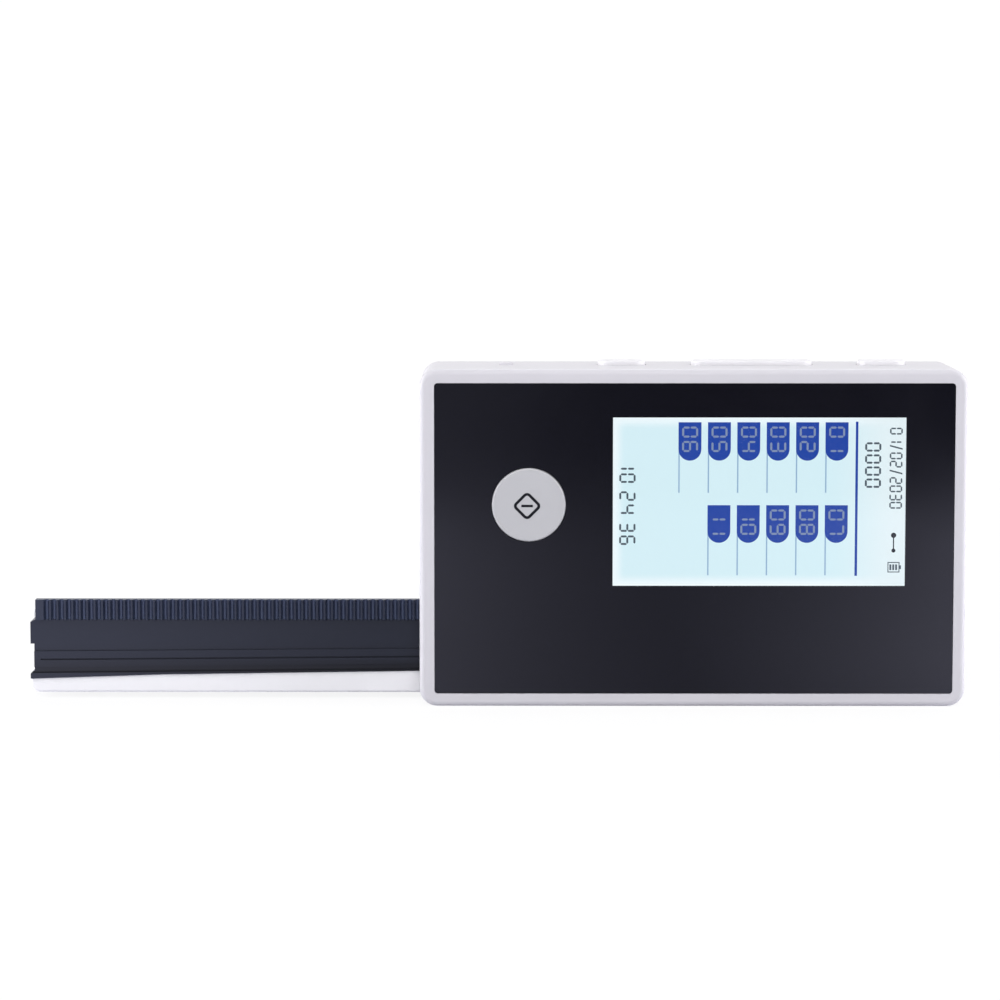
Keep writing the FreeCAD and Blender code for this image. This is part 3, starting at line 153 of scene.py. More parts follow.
# the plain black of inner parts, duller than the case
black_abs = moulded("Black_ABS", "#16161A", "#1B1B20", 0.45, 0.30, 0.010)
dress(black_abs, "lcd_holder", "rear_guide_rail", "front_guide_rail", "sensor_flag",
      "optical_block", "drawer_sensor", "board_chips", "buzzer", "key_switches", "start_switch")
# acetal is left undyed for gears and plungers: a warm, waxy white
acetal = moulded("Natural_acetal", "#E9E5DA", "#EFEBE1", 0.42, 0.40, 0.006)
dress(acetal, "drive_gear", "motor_pinion", "start_plunger", "left_key_plunger",
      "right_key_plunger", "rocker_plunger_left", "rocker_plunger_right", "battery_socket")
# pressed rubber: no gloss and a coarse skin
rubber = moulded("Black_rubber", "#1C1C1D", "#232324", 0.75, 0.35, 0.02)
dress(rubber, "rubber_feet")
# the reference white and the light guide: matt and almost without tone
tile_white = moulded("Calibration_white", "#F2F2EE", "#F6F6F3", 0.6, 0.2, 0.004)
dress(tile_white, "reference_tile", "backlight")
print("mouldings:", ", ".join(m.name for m in (white_abs, drawer_abs, key_abs, bed_abs, black_abs)))

# %% [markdown]
# ## The drawer's bed, by height
# The bed is one moulding of one colour, but light and shade are painted on it by height: the rack's
# teeth are painted the palest, which lifts the shade between them, the plain wall under them is
# darker, and the hollow at its foot gets the darkest tone, a painted shade. Three materials could
# show that, but the bed is one moulding. So one material is toned by height, in millimetres,
# through a colour ramp.

# %% Painted light and shade on the strip bed
# pairs of a height in millimetres and a tone: the low hollow gets painted shade, and the rack's
# teeth are painted the palest to lift the shade between them
BED_LIGHT_AND_SHADE = ((3.0, 0.28), (5.2, 0.28), (5.5, 0.10), (6.8, 0.14), (8.1, 0.20), (8.5, 0.30),
             (16.6, 0.32), (17.1, 1.0), (21.2, 1.0))


def times_tone(material, tone):
    """Multiplies the colour that a moulding already has by a tone."""
    tree = material.node_tree
    colour = tree.nodes["Principled BSDF"].inputs["Base Color"]
    product = add(tree, "ShaderNodeMix", {"data_type": "RGBA", "blend_type": "MULTIPLY"},
                  Factor=1.0, A=colour.links[0].from_socket, B=tone)
    tree.links.new(product.outputs["Result"], colour)


def toned_by_height(material, tones):
    """Tones a moulding by height; tones are pairs of a height in millimetres and a factor."""
    tree = material.node_tree
    place = add(tree, "ShaderNodeTexCoord").outputs["Object"]
    axes = add(tree, "ShaderNodeSeparateXYZ", Vector=place)
    lowest, highest = tones[0][0], tones[-1][0]
    height = add(tree, "ShaderNodeMapRange", Value=axes.outputs["Z"], From_Min=lowest * MM,
                 From_Max=highest * MM)
    bands = add(tree, "ShaderNodeValToRGB", Fac=height.outputs["Result"])
    marks = bands.color_ramp.elements
    while len(marks) < len(tones):
        marks.new(0.5)
    for mark, (level, tone) in zip(marks, tones):
        mark.position = (level - lowest) / (highest - lowest)
        mark.color = (tone, tone, tone, 1.0)
    times_tone(material, bands.outputs["Color"])


# painted light and shade on the bed: a darker hollow at its foot, paler teeth on the rack
toned_by_height(bed_abs, BED_LIGHT_AND_SHADE)
print(len(BED_LIGHT_AND_SHADE), "tones between", BED_LIGHT_AND_SHADE[0][0], "and", BED_LIGHT_AND_SHADE[-1][0], "mm")

# %% [markdown]
# ## The roots of the teeth
# The rack is one plain moulding, but lamps at the sides leave the roots of its teeth darker than
# the eye finds them. One more lamp would lift them, and change everything else with them. A tone on
# the material lifts only the roots: the colour is multiplied once more, by a tone that grows with
# the depth behind the tips. Two soft steps keep that tone to the teeth: one ends it just behind the
# roots, and one begins it at the rack's foot.

# %% Lifted roots
TOOTH_DEPTH, RACK_FOOT = 1.125 * MM, 16.85 * MM
TIP_TONE, ROOT_TONE = 0.6, 2.0
ROOT_FADE = (0.10 * MM, 0.02 * MM)
FOOT_FADE = 0.2 * MM


def lifted_roots(material, tips):
    """Darker tips and paler roots above the rack's foot; tips is the depth of the tips."""
    tree = material.node_tree
    place = add(tree, "ShaderNodeTexCoord").outputs["Object"]
    axes = add(tree, "ShaderNodeSeparateXYZ", Vector=place)
    roots = tips + TOOTH_DEPTH
    tone = add(tree, "ShaderNodeMapRange", Value=axes.outputs["Y"], From_Min=tips, From_Max=roots,
               To_Min=TIP_TONE, To_Max=ROOT_TONE)
    in_teeth = add(tree, "ShaderNodeMapRange", SMOOTH, Value=axes.outputs["Y"],
                   From_Min=roots + ROOT_FADE[0], From_Max=roots + ROOT_FADE[1])
    above = add(tree, "ShaderNodeMapRange", SMOOTH, Value=axes.outputs["Z"], From_Min=RACK_FOOT,
                From_Max=RACK_FOOT + FOOT_FADE)
    share = add(tree, "ShaderNodeMath", {"operation": "MULTIPLY"}, in_teeth.outputs["Result"],
                above.outputs["Result"])
    grey = add(tree, "ShaderNodeMix", {"data_type": "FLOAT"}, Factor=share.outputs[0], A=1.0,
               B=tone.outputs["Result"])
    times_tone(material, grey.outputs["Result"])


lifted_roots(bed_abs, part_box("strip_bed")[0].y)
print("teeth", round(TOOTH_DEPTH / MM, 2), "mm deep")

# %% [markdown]
# ## The gloss panel
# The front is one black printed sheet of acrylic. Its surface is very smooth, so nearly all that
# the eye gets from it is the room's reflection at the four percent that acrylic returns. A base
# colour just above black and a low roughness give that. A trace of fine dust and wipe marks in
# the roughness keeps the reflection from looking computed.

# %% Black acrylic
WIPE_SIZE = 25 * MM
PANEL_GLOSS = (0.10, 0.17)
panel_black, tree, surface = new_material("Black_printed_acrylic", IOR=1.49,
                                          Base_Color=srgb("#0A0A13"))
place = add(tree, "ShaderNodeTexCoord").outputs["Object"]
wipes = add(tree, "ShaderNodeTexNoise", Vector=place, Scale=1 / WIPE_SIZE, Detail=4.0,
            Distortion=1.2)
smooth = add(tree, "ShaderNodeMapRange", Value=wipes.outputs["Fac"], To_Min=PANEL_GLOSS[0],
             To_Max=PANEL_GLOSS[1])
tree.links.new(smooth.outputs["Result"], surface.inputs["Roughness"])
dress(panel_black, "overlay_panel")
print("panel gloss: roughness", PANEL_GLOSS[0], "to", PANEL_GLOSS[1])

# %% [markdown]
# ## Metal and boards
# Screws, the motor can and the bracket are plated steel. The boards are glass fibre under a green
# solder mask. Apart from the case screws, the socket and the blank label, all of it is inside the
# case. An anisotropic shader would stretch the metal's highlights as well, but for such parts fine
# lines in the roughness are enough, and the boards have the grain of a moulding.

# %% Steel, boards, film
ALONG_LINES = 1 / (25 * MM)
LINE_GLOSS = 0.08


def brushed(title, colour, roughness, line_mm):
    """Metal with fine parallel lines along X."""
    material, tree, surface = new_material(title, Metallic=1.0, Base_Color=srgb(colour))
    place = add(tree, "ShaderNodeTexCoord").outputs["Object"]
    across = 1 / (line_mm * MM)
    stretch = add(tree, "ShaderNodeMapping", Vector=place, Scale=(ALONG_LINES, across, across))
    lines = add(tree, "ShaderNodeTexNoise", Vector=stretch.outputs["Vector"], Scale=1.0, Detail=2.0)
    gloss = add(tree, "ShaderNodeMapRange", Value=lines.outputs["Fac"],
                To_Min=roughness - LINE_GLOSS, To_Max=roughness + LINE_GLOSS)
    tree.links.new(gloss.outputs["Result"], surface.inputs["Roughness"])
    return material


# bright zinc over drawn steel: grey metal with fine lines
plated = brushed("Zinc_plated_steel", "#B9BABD", 0.32, 0.2)
dress(plated, "case_screws", "board_screws", "bracket_screws", "optics_screws", "rail_screws",
      "drive_bracket", "gear_axle", "motor", "motor_shaft", "rocker_pin", "rocker_bracket",
      "usb_socket")
# a bare label: silver-grey ink under a matt film, so it doesn't mirror
label_film = moulded("Matt_polyester_label_film", "#BCBDC1", "#C2C3C6", 0.50, 0.15, 0.003)
dress(label_film, "rating_plate")
# screen-printed mask: dark green with a soft gloss
board_mask = moulded("Green_solder_mask", "#0E4A2A", "#125533", 0.35, 0.8, 0.01)
dress(board_mask, "main_board", "key_board", "optical_board")
# the flexible tail of the display: amber film
amber = moulded("Polyimide_film", "#9A5A14", "#A8661A", 0.3, 0.5, 0.004)
dress(amber, "lcd_flex")
# shrunk film over the cells: glossy, with long waves
wrap = moulded("Blue_shrink_film", "#2C4E9B", "#3157A8", 0.28, 6.0, 0.05)
dress(wrap, "battery_pack")
# cast domes over the lights and the sensor: pale and very smooth
led_clear = moulded("Clear_epoxy_domes", "#D8D8C8", "#DEDED0", 0.12, 0.5, 0.002)
dress(led_clear, "light_and_sensor")
on_parts = [title for title, part in nodes.items() if plated in list(part.data.materials)]
print(plated.name, "on", len(on_parts), "parts")

# %% [markdown]
# ## The clear window and the display glass
# The window is a clear sheet, flush with the black panel. Its job is a thin gloss over the
# display, so it is almost fully transparent and only its reflection shows. The display is a
# backlit LCD: the glass itself gives light, pale cyan in the middle and almost white along its
# edges, where the light guide's lamps sit. A painted texture could carry that change. Here the
# distance to the edges sets it, by a formula on Object coordinates, so it follows the window.

# %% Window
# its IOR is below acrylic's 1.49, so that it mirrors less than the panel, as a coated window does
HAZE_SIZE = 9 * MM
WINDOW_GLOSS = (0.02, 0.05)
window_low, window_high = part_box("display_window")
glass_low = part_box("lcd_glass")[0]
clear_acrylic, tree, surface = new_material("Clear_acrylic", IOR=1.3, Transmission_Weight=1.0,
                                            Base_Color=srgb("#FBFDFE"))
place = add(tree, "ShaderNodeTexCoord").outputs["Object"]
haze = add(tree, "ShaderNodeTexNoise", Vector=place, Scale=1 / HAZE_SIZE, Detail=3.0)
smooth = add(tree, "ShaderNodeMapRange", Value=haze.outputs["Fac"], To_Min=WINDOW_GLOSS[0],
             To_Max=WINDOW_GLOSS[1])
tree.links.new(smooth.outputs["Result"], surface.inputs["Roughness"])
dress(clear_acrylic, "display_window")
print("window", round((window_high.y - window_low.y) / MM, 2), "mm thick")

# %% Lit glass
LIT_MIDDLE, LIT_EDGE, LIT_HEAD = "#D6EEF4", "#F0F9FC", "#E6F1F4"
LIT_STRENGTH = 1.03
EDGE_GLOW = 2.6 * MM
HEAD_GLOW = 17 * MM
lit_glass, tree, surface = new_material("Backlit_display_glass", Roughness=0.3,
                                        Specular_IOR_Level=0.1, Base_Color=srgb("#20282B"),
                                        Emission_Strength=LIT_STRENGTH)
place = add(tree, "ShaderNodeTexCoord").outputs["Object"]
axes = add(tree, "ShaderNodeSeparateXYZ", Vector=place)
inside = 1.0
for axis, edge, reach in (("Z", window_low.z, EDGE_GLOW), ("Z", window_high.z, -EDGE_GLOW),
                          ("X", window_low.x, EDGE_GLOW)):
    fade = add(tree, "ShaderNodeMapRange", SMOOTH, Value=axes.outputs[axis], From_Min=edge,
               From_Max=edge + reach)
    inside = add(tree, "ShaderNodeMath", {"operation": "MULTIPLY"}, inside,
                 fade.outputs["Result"]).outputs[0]
past_head = add(tree, "ShaderNodeMapRange", SMOOTH, Value=axes.outputs["X"],
                From_Min=window_high.x, From_Max=window_high.x - HEAD_GLOW)
edge_mix = add(tree, "ShaderNodeMix", {"data_type": "RGBA"}, Factor=inside, A=srgb(LIT_EDGE),
               B=srgb(LIT_MIDDLE))
head_mix = add(tree, "ShaderNodeMix", {"data_type": "RGBA"}, Factor=past_head.outputs["Result"],
               A=srgb(LIT_HEAD), B=edge_mix.outputs["Result"])
tree.links.new(head_mix.outputs["Result"], surface.inputs["Emission Color"])
dress(lit_glass, "lcd_glass")
print("display", round((window_high.x - window_low.x) / MM, 1), "x",
      round((window_high.z - window_low.z) / MM, 1), "mm")

# %% [markdown]
# ## Marks on the display
# An LCD's dark marks are liquid-crystal segments behind the glass. They are made here as plates
# three hundredths of a millimetre thick on the glass's front, because a mark with a real outline
# stays sharp at any distance. The display is read with the drawer towards the reader: `u` runs
# along a line of text, which is downwards here, and `v` from the head of the display to its foot,
# which is leftwards, both in millimetres.

# %% A thin plate from an outline
PLATE = 0.03 * MM


def on_display(u, v):
    """A point on the glass from text coordinates in millimetres."""
    return Vector((window_high.x - v * MM, glass_low.y, window_high.z - u * MM))


def plates(title, outlines, material, body="housing", lift=PLATE):
    """One mesh of closed thin plates; each outline is a list of points in a plane of constant Y."""
    mesh = bpy.data.meshes.new(title)
    grid = bmesh.new()
    for outline in outlines:
        lower = [grid.verts.new(p) for p in outline]
        upper = [grid.verts.new(p - Vector((0, lift, 0))) for p in outline]
        grid.faces.new(lower)
        grid.faces.new(list(reversed(upper)))
        for n in range(len(outline)):
            m = (n + 1) % len(outline)
            grid.faces.new((lower[m], lower[n], upper[n], upper[m]))
    bmesh.ops.recalc_face_normals(grid, faces=grid.faces)
    grid.to_mesh(mesh)
    grid.free()
    piece = bpy.data.objects.new(title, mesh)
    bpy.context.scene.collection.objects.link(piece)
    mesh.materials.append(material)
    if body:
        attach(piece, body)
    return piece


print("plates", round(PLATE / MM, 2), "mm thick")

# %% The inks
CELL_SIZE = 0.6 * MM
CELL_LIFT = 1.08


def ink(title, colour, glow=0.95):
    """A display segment: a flat colour with a fine unevenness, lit a little from behind."""
    material, tree, surface = new_material(title, Roughness=0.5, Specular_IOR_Level=0.1,
                                           Base_Color=srgb("#05060A"), Emission_Strength=glow)
    place = add(tree, "ShaderNodeTexCoord").outputs["Object"]
    cells = add(tree, "ShaderNodeTexNoise", Vector=place, Scale=1 / CELL_SIZE, Detail=1.0)
    lifted = [c * CELL_LIFT for c in srgb(colour)[:3]] + [1.0]
    mix = add(tree, "ShaderNodeMix", {"data_type": "RGBA"}, Factor=cells.outputs["Fac"],
              A=srgb(colour), B=lifted)
    tree.links.new(mix.outputs["Result"], surface.inputs["Emission Color"])
    return material


blue_ink = ink("Blue_display_segments", "#2145A4")
line_ink = ink("Pale_blue_display_lines", "#93B3D3")
grey_ink = ink("Grey_display_segments", "#4E5A64")
tag_ink = ink("Stone_grey_display_figures", "#8494B2")
dark_ink = ink("Black_display_segments", "#14181F", 0.9)
print("inks:", ", ".join(m.name for m in (blue_ink, line_ink, grey_ink, tag_ink, dark_ink)))

# %% [markdown]
# ## Repeating a mark with Geometry Nodes
# The display has two rows of equal labels at an equal pitch, one label for each test pad. A loop
# could draw each of them. A node tree needs only one drawing: it sets copies of it along a line,
# with the count and the step as named inputs, and turns them into one plain mesh.


# %% A node tree that repeats a mesh along a line
def repeat_tree():
    """Geometry Nodes: the incoming mesh, copied Count times, each one Step further on."""
    tree = bpy.data.node_groups.new("repeat_along_a_line", "GeometryNodeTree")
    face = tree.interface
    for name, kind in (("Geometry", "Geometry"), ("Count", "Int"), ("Step", "Vector"),
                       ("Material", "Material")):
        face.new_socket(name, in_out="INPUT", socket_type="NodeSocket" + kind)
    face.new_socket("Geometry", in_out="OUTPUT", socket_type="NodeSocketGeometry")
    source = tree.nodes.new("NodeGroupInput")
    line = add(tree, "GeometryNodeMeshLine", {"mode": "OFFSET"}, Count=source.outputs["Count"],
               Offset=source.outputs["Step"])
    copies = add(tree, "GeometryNodeInstanceOnPoints", Points=line.outputs["Mesh"],
                 Instance=source.outputs["Geometry"])
    real = add(tree, "GeometryNodeRealizeInstances", Geometry=copies.outputs["Instances"])
    painted = add(tree, "GeometryNodeSetMaterial", Geometry=real.outputs["Geometry"],
                  Material=source.outputs["Material"])
    add(tree, "NodeGroupOutput", Geometry=painted.outputs["Geometry"])
    return tree


REPEAT = repeat_tree()
print(REPEAT.name, "has", len(REPEAT.nodes), "nodes")


def repeated(piece, count, step, material, body="housing"):
    """Runs the tree on a piece and keeps the result as a plain mesh on a body."""
    sockets = {item.name: item.identifier for item in REPEAT.interface.items_tree
               if item.in_out == "INPUT"}
    modifier = piece.modifiers.new("repeat", "NODES")
    modifier.node_group = REPEAT
    modifier[sockets["Count"]] = count
    modifier[sockets["Step"]] = step
    modifier[sockets["Material"]] = material
    bpy.context.view_layer.update()
    evaluated = piece.evaluated_get(bpy.context.evaluated_depsgraph_get())
    mesh = bpy.data.meshes.new_from_object(evaluated)
    piece.modifiers.clear()
    piece.data = mesh
    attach(piece, body)


# %% [markdown]
# ## The labels
# Each label is a tag, square at its start and half round at its end, with a thin line that leads
# from it to the place of its value. Six stand in the upper row and five in the lower one, and a
# rule parts them from the head of the display.

# %% Labels and their lines
LABEL_PITCH, LABEL_WIDTH = 6.11, 4.77
LABEL_HEAD = 11.9
LABEL_FOOT = LABEL_HEAD + LABEL_WIDTH
LABEL_ARC_STEPS = 16
# each row: its name, how many labels, where a label starts and ends, where its line stops
LABEL_ROWS = (("upper", 6, 0.98, 9.0, 15.7), ("lower", 5, 18.3, 26.2, 33.0))
LINE_WIDTH, LINE_LIFT = 0.28, 0.8 * PLATE
LINE_HIDDEN = 0.42 * LABEL_WIDTH
RULE = (0.85, 33.1, 9.85, 10.38)


def label_outline(start, end):
    """A tag that is square at its start and half round at its end."""
    radius = LABEL_WIDTH / 2
    points = [(start, LABEL_HEAD), (end - radius, LABEL_HEAD)]
    for n in range(1, LABEL_ARC_STEPS):
        turn = math.pi * n / LABEL_ARC_STEPS
        points.append((end - radius + radius * math.sin(turn),
                       LABEL_HEAD + radius - radius * math.cos(turn)))
    points += [(end - radius, LABEL_FOOT), (start, LABEL_FOOT)]
    return [on_display(u, v) for u, v in points]


def bar_outline(u0, u1, v0, v1):
    """A rectangle from u0 to u1 along the text and from v0 to v1 across it."""
    return [on_display(u, v) for u, v in ((u0, v0), (u1, v0), (u1, v1), (u0, v1))]


step = (-LABEL_PITCH * MM, 0, 0)
for row, count, start, end, stop in LABEL_ROWS:
    tag = plates(f"display_labels_{row}", [label_outline(start, end)], blue_ink, body=None)
    repeated(tag, count, step, blue_ink)
    thin = bar_outline(end - LINE_HIDDEN, stop, LABEL_FOOT - LINE_WIDTH, LABEL_FOOT)
    line = plates(f"display_lines_{row}", [thin], line_ink, body=None, lift=LINE_LIFT)
    repeated(line, count, step, line_ink)
plates("display_rule", [bar_outline(*RULE)], blue_ink)
print("labels", sum(row[1] for row in LABEL_ROWS))

# %% [markdown]
# ## Seven-segment figures
# Counters and clocks on such displays are seven-segment figures. A text object could write them,
# but few typefaces have such bars. Here each segment is a bar with pointed ends, and a table says
# which segments a figure lights. The figures are plain numbers: a counter, a clock, a date and a
# number in each label.

# %% Figures from segments
SEGMENTS = {"0": "abcdef", "1": "bc", "2": "abged", "3": "abgcd", "4": "fgbc", "5": "afgcd",
            "6": "afgedc", "7": "abc", "8": "abcdefg", "9": "abcdfg"}
SEGMENT_GAP = 0.16
SLASH_FOOT, SLASH_HEAD = 0.15, 0.8


def figure(text, corner, width, height, stroke, pitch):
    """Outlines of a line of figures, in millimetres; corner is the first one's top left."""
    outlines = []
    gap, half, middle = SEGMENT_GAP * stroke, stroke / 2, height / 2
    bars = {"a": (0, 0, 1, 0), "b": (1, 0, 1, middle), "c": (1, middle, 1, height),
            "d": (0, height, 1, height), "e": (0, middle, 0, height), "f": (0, 0, 0, middle),
            "g": (0, middle, 1, middle)}
    for n, sign in enumerate(text):
        left, top = corner[0] + n * pitch, corner[1]
        if sign == "/":
            slash = ((SLASH_FOOT, height), (SLASH_FOOT + stroke, height), (width * SLASH_HEAD, 0),
                     (width * SLASH_HEAD - stroke, 0))
            outlines.append([on_display(left + x, top + y) for x, y in slash])
        for letter in SEGMENTS.get(sign, ""):
            x0, y0, x1, y1 = bars[letter]
            x0, x1 = [half + x * (width - stroke) for x in (x0, x1)]
            y0, y1 = [half + y * (height - stroke) / height for y in (y0, y1)]
            start, end = Vector((x0, y0)), Vector((x1, y1))
            along = (end - start).normalized()
            across = Vector((-along.y, along.x)) * half
            inner = along * half
            start, end = start + along * gap, end - along * gap
            ring = [start, start + inner + across, end - inner + across, end,
                    end - inner - across, start + inner - across]
            outlines.append([on_display(left + p.x, top + p.y) for p in ring])
    return outlines


# %% The counter, the clock and the date
# each size is a figure's width and height, its stroke and the pitch from one figure to the next
COUNTER_AT, COUNTER_SIZE = (5.15, 5.05), (1.95, 3.35, 0.42, 2.52)
CLOCK_AT, CLOCK_SIZE = (8.9, 56.1), (2.0, 3.4, 0.42, 2.75)
CLOCK_STEP = 6.5
DATE_AT, DATE_SIZE = (2.1, 0.62), (1.45, 2.65, 0.32, 1.72)
plates("display_counter", figure("0000", COUNTER_AT, *COUNTER_SIZE), grey_ink)
clock = []
for n, pair in enumerate(("10", "24", "36")):
    clock += figure(pair, (CLOCK_AT[0] + CLOCK_STEP * n, CLOCK_AT[1]), *CLOCK_SIZE)
plates("display_clock", clock, grey_ink)
plates("display_date", figure("01/02/2030", DATE_AT, *DATE_SIZE), grey_ink)
print("clock segments", len(clock))

# %% A number in each label
NUMBER_INSET = (0.9, 0.7)
NUMBER_SIZE = (2.3, LABEL_WIDTH - 1.45, 0.42, 3.0)
first = 1
for row, count, start, *_ in LABEL_ROWS:
    numbers = []
    for n in range(count):
        corner = (start + NUMBER_INSET[0], LABEL_HEAD + n * LABEL_PITCH + NUMBER_INSET[1])
        numbers += figure(f"{first + n:02d}", corner, *NUMBER_SIZE)
    lifted = [[p - Vector((0, PLATE, 0)) for p in outline] for outline in numbers]
    plates(f"display_numbers_{row}", lifted, tag_ink)
    first += count
print("numbers up to", first - 1)

# %% [markdown]
# ## Two signs at the head of the display
# A battery says how much charge is left: a thin frame, a cap and three bars. Next to it a plain
# dumbbell says that the unit is linked to another one: a large dot, a bar and a small dot.

# %% Battery sign and link sign
CELL_U, CELL_V, CELL_WALL = (30.2, 32.4), (1.0, 3.5), 0.2
CAP_U, CAP_V = (30.9, 31.7), (0.7, 1.0)
CHARGE_U, CHARGE_ROWS, CHARGE_WIDTH = (30.7, 31.9), (1.5, 2.1, 2.7), 0.4
LINK_V, LINK_BAR, LINK_HALF = 2.3, (25.0, 27.4), 0.12
LINK_LARGE, LINK_SMALL = (24.6, 0.55), (27.8, 0.42)
DOT_SIDES = 20
inner_u = (CELL_U[0] + CELL_WALL, CELL_U[1] - CELL_WALL)
inner_v = (CELL_V[0] + CELL_WALL, CELL_V[1] - CELL_WALL)
cell = [bar_outline(*CELL_U, CELL_V[0], inner_v[0]), bar_outline(*CELL_U, inner_v[1], CELL_V[1]),
        bar_outline(CELL_U[0], inner_u[0], *inner_v), bar_outline(inner_u[1], CELL_U[1], *inner_v),
        bar_outline(*CAP_U, *CAP_V)]
cell += [bar_outline(*CHARGE_U, v, v + CHARGE_WIDTH) for v in CHARGE_ROWS]
plates("display_battery_sign", cell, grey_ink)


def disc(u, radius):
    """A round dot on the link sign's line."""
    turns = [2 * math.pi * n / DOT_SIDES for n in range(DOT_SIDES)]
    return [on_display(u + radius * math.cos(t), LINK_V + radius * math.sin(t)) for t in turns]


link = [disc(*LINK_LARGE), bar_outline(*LINK_BAR, LINK_V - LINK_HALF, LINK_V + LINK_HALF),
        disc(*LINK_SMALL)]
plates("display_link_sign", link, dark_ink)
print("charge bars", len(CHARGE_ROWS), "and link dots", len((LINK_LARGE, LINK_SMALL)))

# %% [markdown]
# ## The start button
# The button is a satin moulding in light grey with a pad-printed sign: a rounded diamond with a
# bar. Its ink is matt. The print could be a texture on the button's face, but a thin plate keeps a
# sharp outline at any distance. It rides on the button, so it travels with it.

# %% Button finish
button_grey = moulded("Satin_grey_ABS", "#C3C3C6", "#C8C8CB", 0.36, 0.25, 0.006, Coat_Weight=0.1)
dress(button_grey, "start_button")
button_low, button_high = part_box("start_button")
button_middle = (button_low + button_high) / 2
print("button's middle", round(button_middle.x / MM, 1), "mm from the part's")

# %% The printed sign
SIGN_ACROSS, SIGN_STROKE, SIGN_ROUND = 5.45, 0.58, 1.0
SIGN_SHIFT, SIGN_DROP = -0.35, 0.2
SIGN_BAR = (1.2, 0.26)
CORNER_STEPS = 8
SPECKLE_SIZE = 0.15 * MM


def diamond(across, radius):
    """A square on its corner with rounded corners, as points around the origin in millimetres."""
    reach = across / 2 - radius
    points = []
    for corner in range(4):
        middle = math.pi / 2 * corner
        for n in range(CORNER_STEPS + 1):
            turn = middle - math.pi / 4 + math.pi / 2 * n / CORNER_STEPS
            points.append((reach * math.cos(middle) + radius * math.cos(turn),
                           reach * math.sin(middle) + radius * math.sin(turn)))
    return points


def on_button(x, z):
    """A point on the button's face, in millimetres from the sign's middle."""
    return Vector((button_middle.x + (SIGN_SHIFT + x) * MM, button_low.y,
                   button_middle.z + (z - SIGN_DROP) * MM))


print_black, tree, surface = new_material("Pad_print_black", Roughness=0.6,
                                          Specular_IOR_Level=0.2)
place = add(tree, "ShaderNodeTexCoord").outputs["Object"]
speckle = add(tree, "ShaderNodeTexNoise", Vector=place, Scale=1 / SPECKLE_SIZE)
mix = add(tree, "ShaderNodeMix", {"data_type": "RGBA"}, Factor=speckle.outputs["Fac"],
          A=srgb("#0C0D13"), B=srgb("#13141C"))
tree.links.new(mix.outputs["Result"], surface.inputs["Base Color"])
outer = diamond(SIGN_ACROSS, SIGN_ROUND)
inner = diamond(SIGN_ACROSS - 2 * SIGN_STROKE, SIGN_ROUND - SIGN_STROKE)
sign = []
for n in range(len(outer)):
    m = (n + 1) % len(outer)
    sign.append([on_button(*p) for p in (outer[n], outer[m], inner[m], inner[n])])
sign.append([on_button(x * SIGN_BAR[0], z * SIGN_BAR[1])
             for x, z in ((-1, -1), (1, -1), (1, 1), (-1, 1))])
plates("start_sign", sign, print_black, body="start_button")
print("start button", round((button_high.x - button_low.x) / MM, 1), "mm across its flange")

# %% [markdown]
# ## The floor
# A product of this kind is shown on plain white. The floor is white where the camera sees it, with
# a soft shadow near the part. The light that it bounces is that of a pale grey table. In gloss it
# glows as a white sheet in front of the product, a painted reflection that only rays off gloss see:
# that sheet is what the black panel mirrors, so its level decides how dark the panel looks from
# place to place.

# %% The rays that see a surface
WHITE_LEVEL = 1.02


def seeing_rays(tree):
    """1 for a ray from the camera, straight or through glass; and 1 for a ray off gloss."""
    rays = add(tree, "ShaderNodeLightPath")
    straight = add(tree, "ShaderNodeMath", {"operation": "MAXIMUM"},
                   rays.outputs["Is Camera Ray"], rays.outputs["Is Transmission Ray"])
    return straight.outputs[0], rays.outputs["Is Glossy Ray"]


# %% The sheet in gloss
# places are in metres from the part's middle, -Y being in front of it
SHEET_TINT = "#E2E2FB"
SHEET_EDGE = (-0.50, -0.36)
MIDDLE_GLOW, SIDE_GAIN, MOST_GLOW = 0.36, 125.0, 2.8
LEFT_REACH, LEFT_GLOW = -0.08, (0.10, 0.44)
RIGHT_REACH, RIGHT_GLOW = 0.06, 0.55
RIGHT_EDGE = (-0.30, -0.05)


# a painted reflection: the floor gives this glow only to rays off gloss, shaped so the black panel
# mirrors it
def sheet_glow(tree):
    """How bright the sheet looks in gloss: strong near the product, more so to its sides."""
    place = add(tree, "ShaderNodeTexCoord").outputs["Object"]
    axes = add(tree, "ShaderNodeSeparateXYZ", Vector=place)
    x, y = axes.outputs["X"], axes.outputs["Y"]
    on_sheet = add(tree, "ShaderNodeMapRange", SMOOTH, Value=y, From_Min=SHEET_EDGE[0],
                   From_Max=SHEET_EDGE[1])
    square = add(tree, "ShaderNodeMath", {"operation": "MULTIPLY"}, x, x)
    sides = add(tree, "ShaderNodeMath", {"operation": "MULTIPLY_ADD"}, square.outputs[0],
                SIDE_GAIN, MIDDLE_GLOW)
    level = add(tree, "ShaderNodeMath", {"operation": "MINIMUM"}, sides.outputs[0], MOST_GLOW)
    left = add(tree, "ShaderNodeMapRange", Value=x, From_Min=0.0, From_Max=LEFT_REACH,
               To_Min=LEFT_GLOW[0], To_Max=LEFT_GLOW[1])
    right = add(tree, "ShaderNodeMapRange", Value=x, From_Min=0.0, From_Max=RIGHT_REACH,
                To_Min=0.0, To_Max=RIGHT_GLOW)
    close = add(tree, "ShaderNodeMapRange", SMOOTH, Value=y, From_Min=RIGHT_EDGE[0],
                From_Max=RIGHT_EDGE[1])
    glow = add(tree, "ShaderNodeMath", {"operation": "MULTIPLY_ADD"}, on_sheet.outputs["Result"],
               level.outputs[0], left.outputs["Result"])
    glow = add(tree, "ShaderNodeMath", {"operation": "MULTIPLY_ADD"}, close.outputs["Result"],
               right.outputs["Result"], glow.outputs[0])
    return add(tree, "ShaderNodeEmission", Color=srgb(SHEET_TINT), Strength=glow.outputs[0])


# %% The floor as the camera sees it
FLAT_SHARE = 0.85
SHADOW_FADE = (0.16, 0.50)


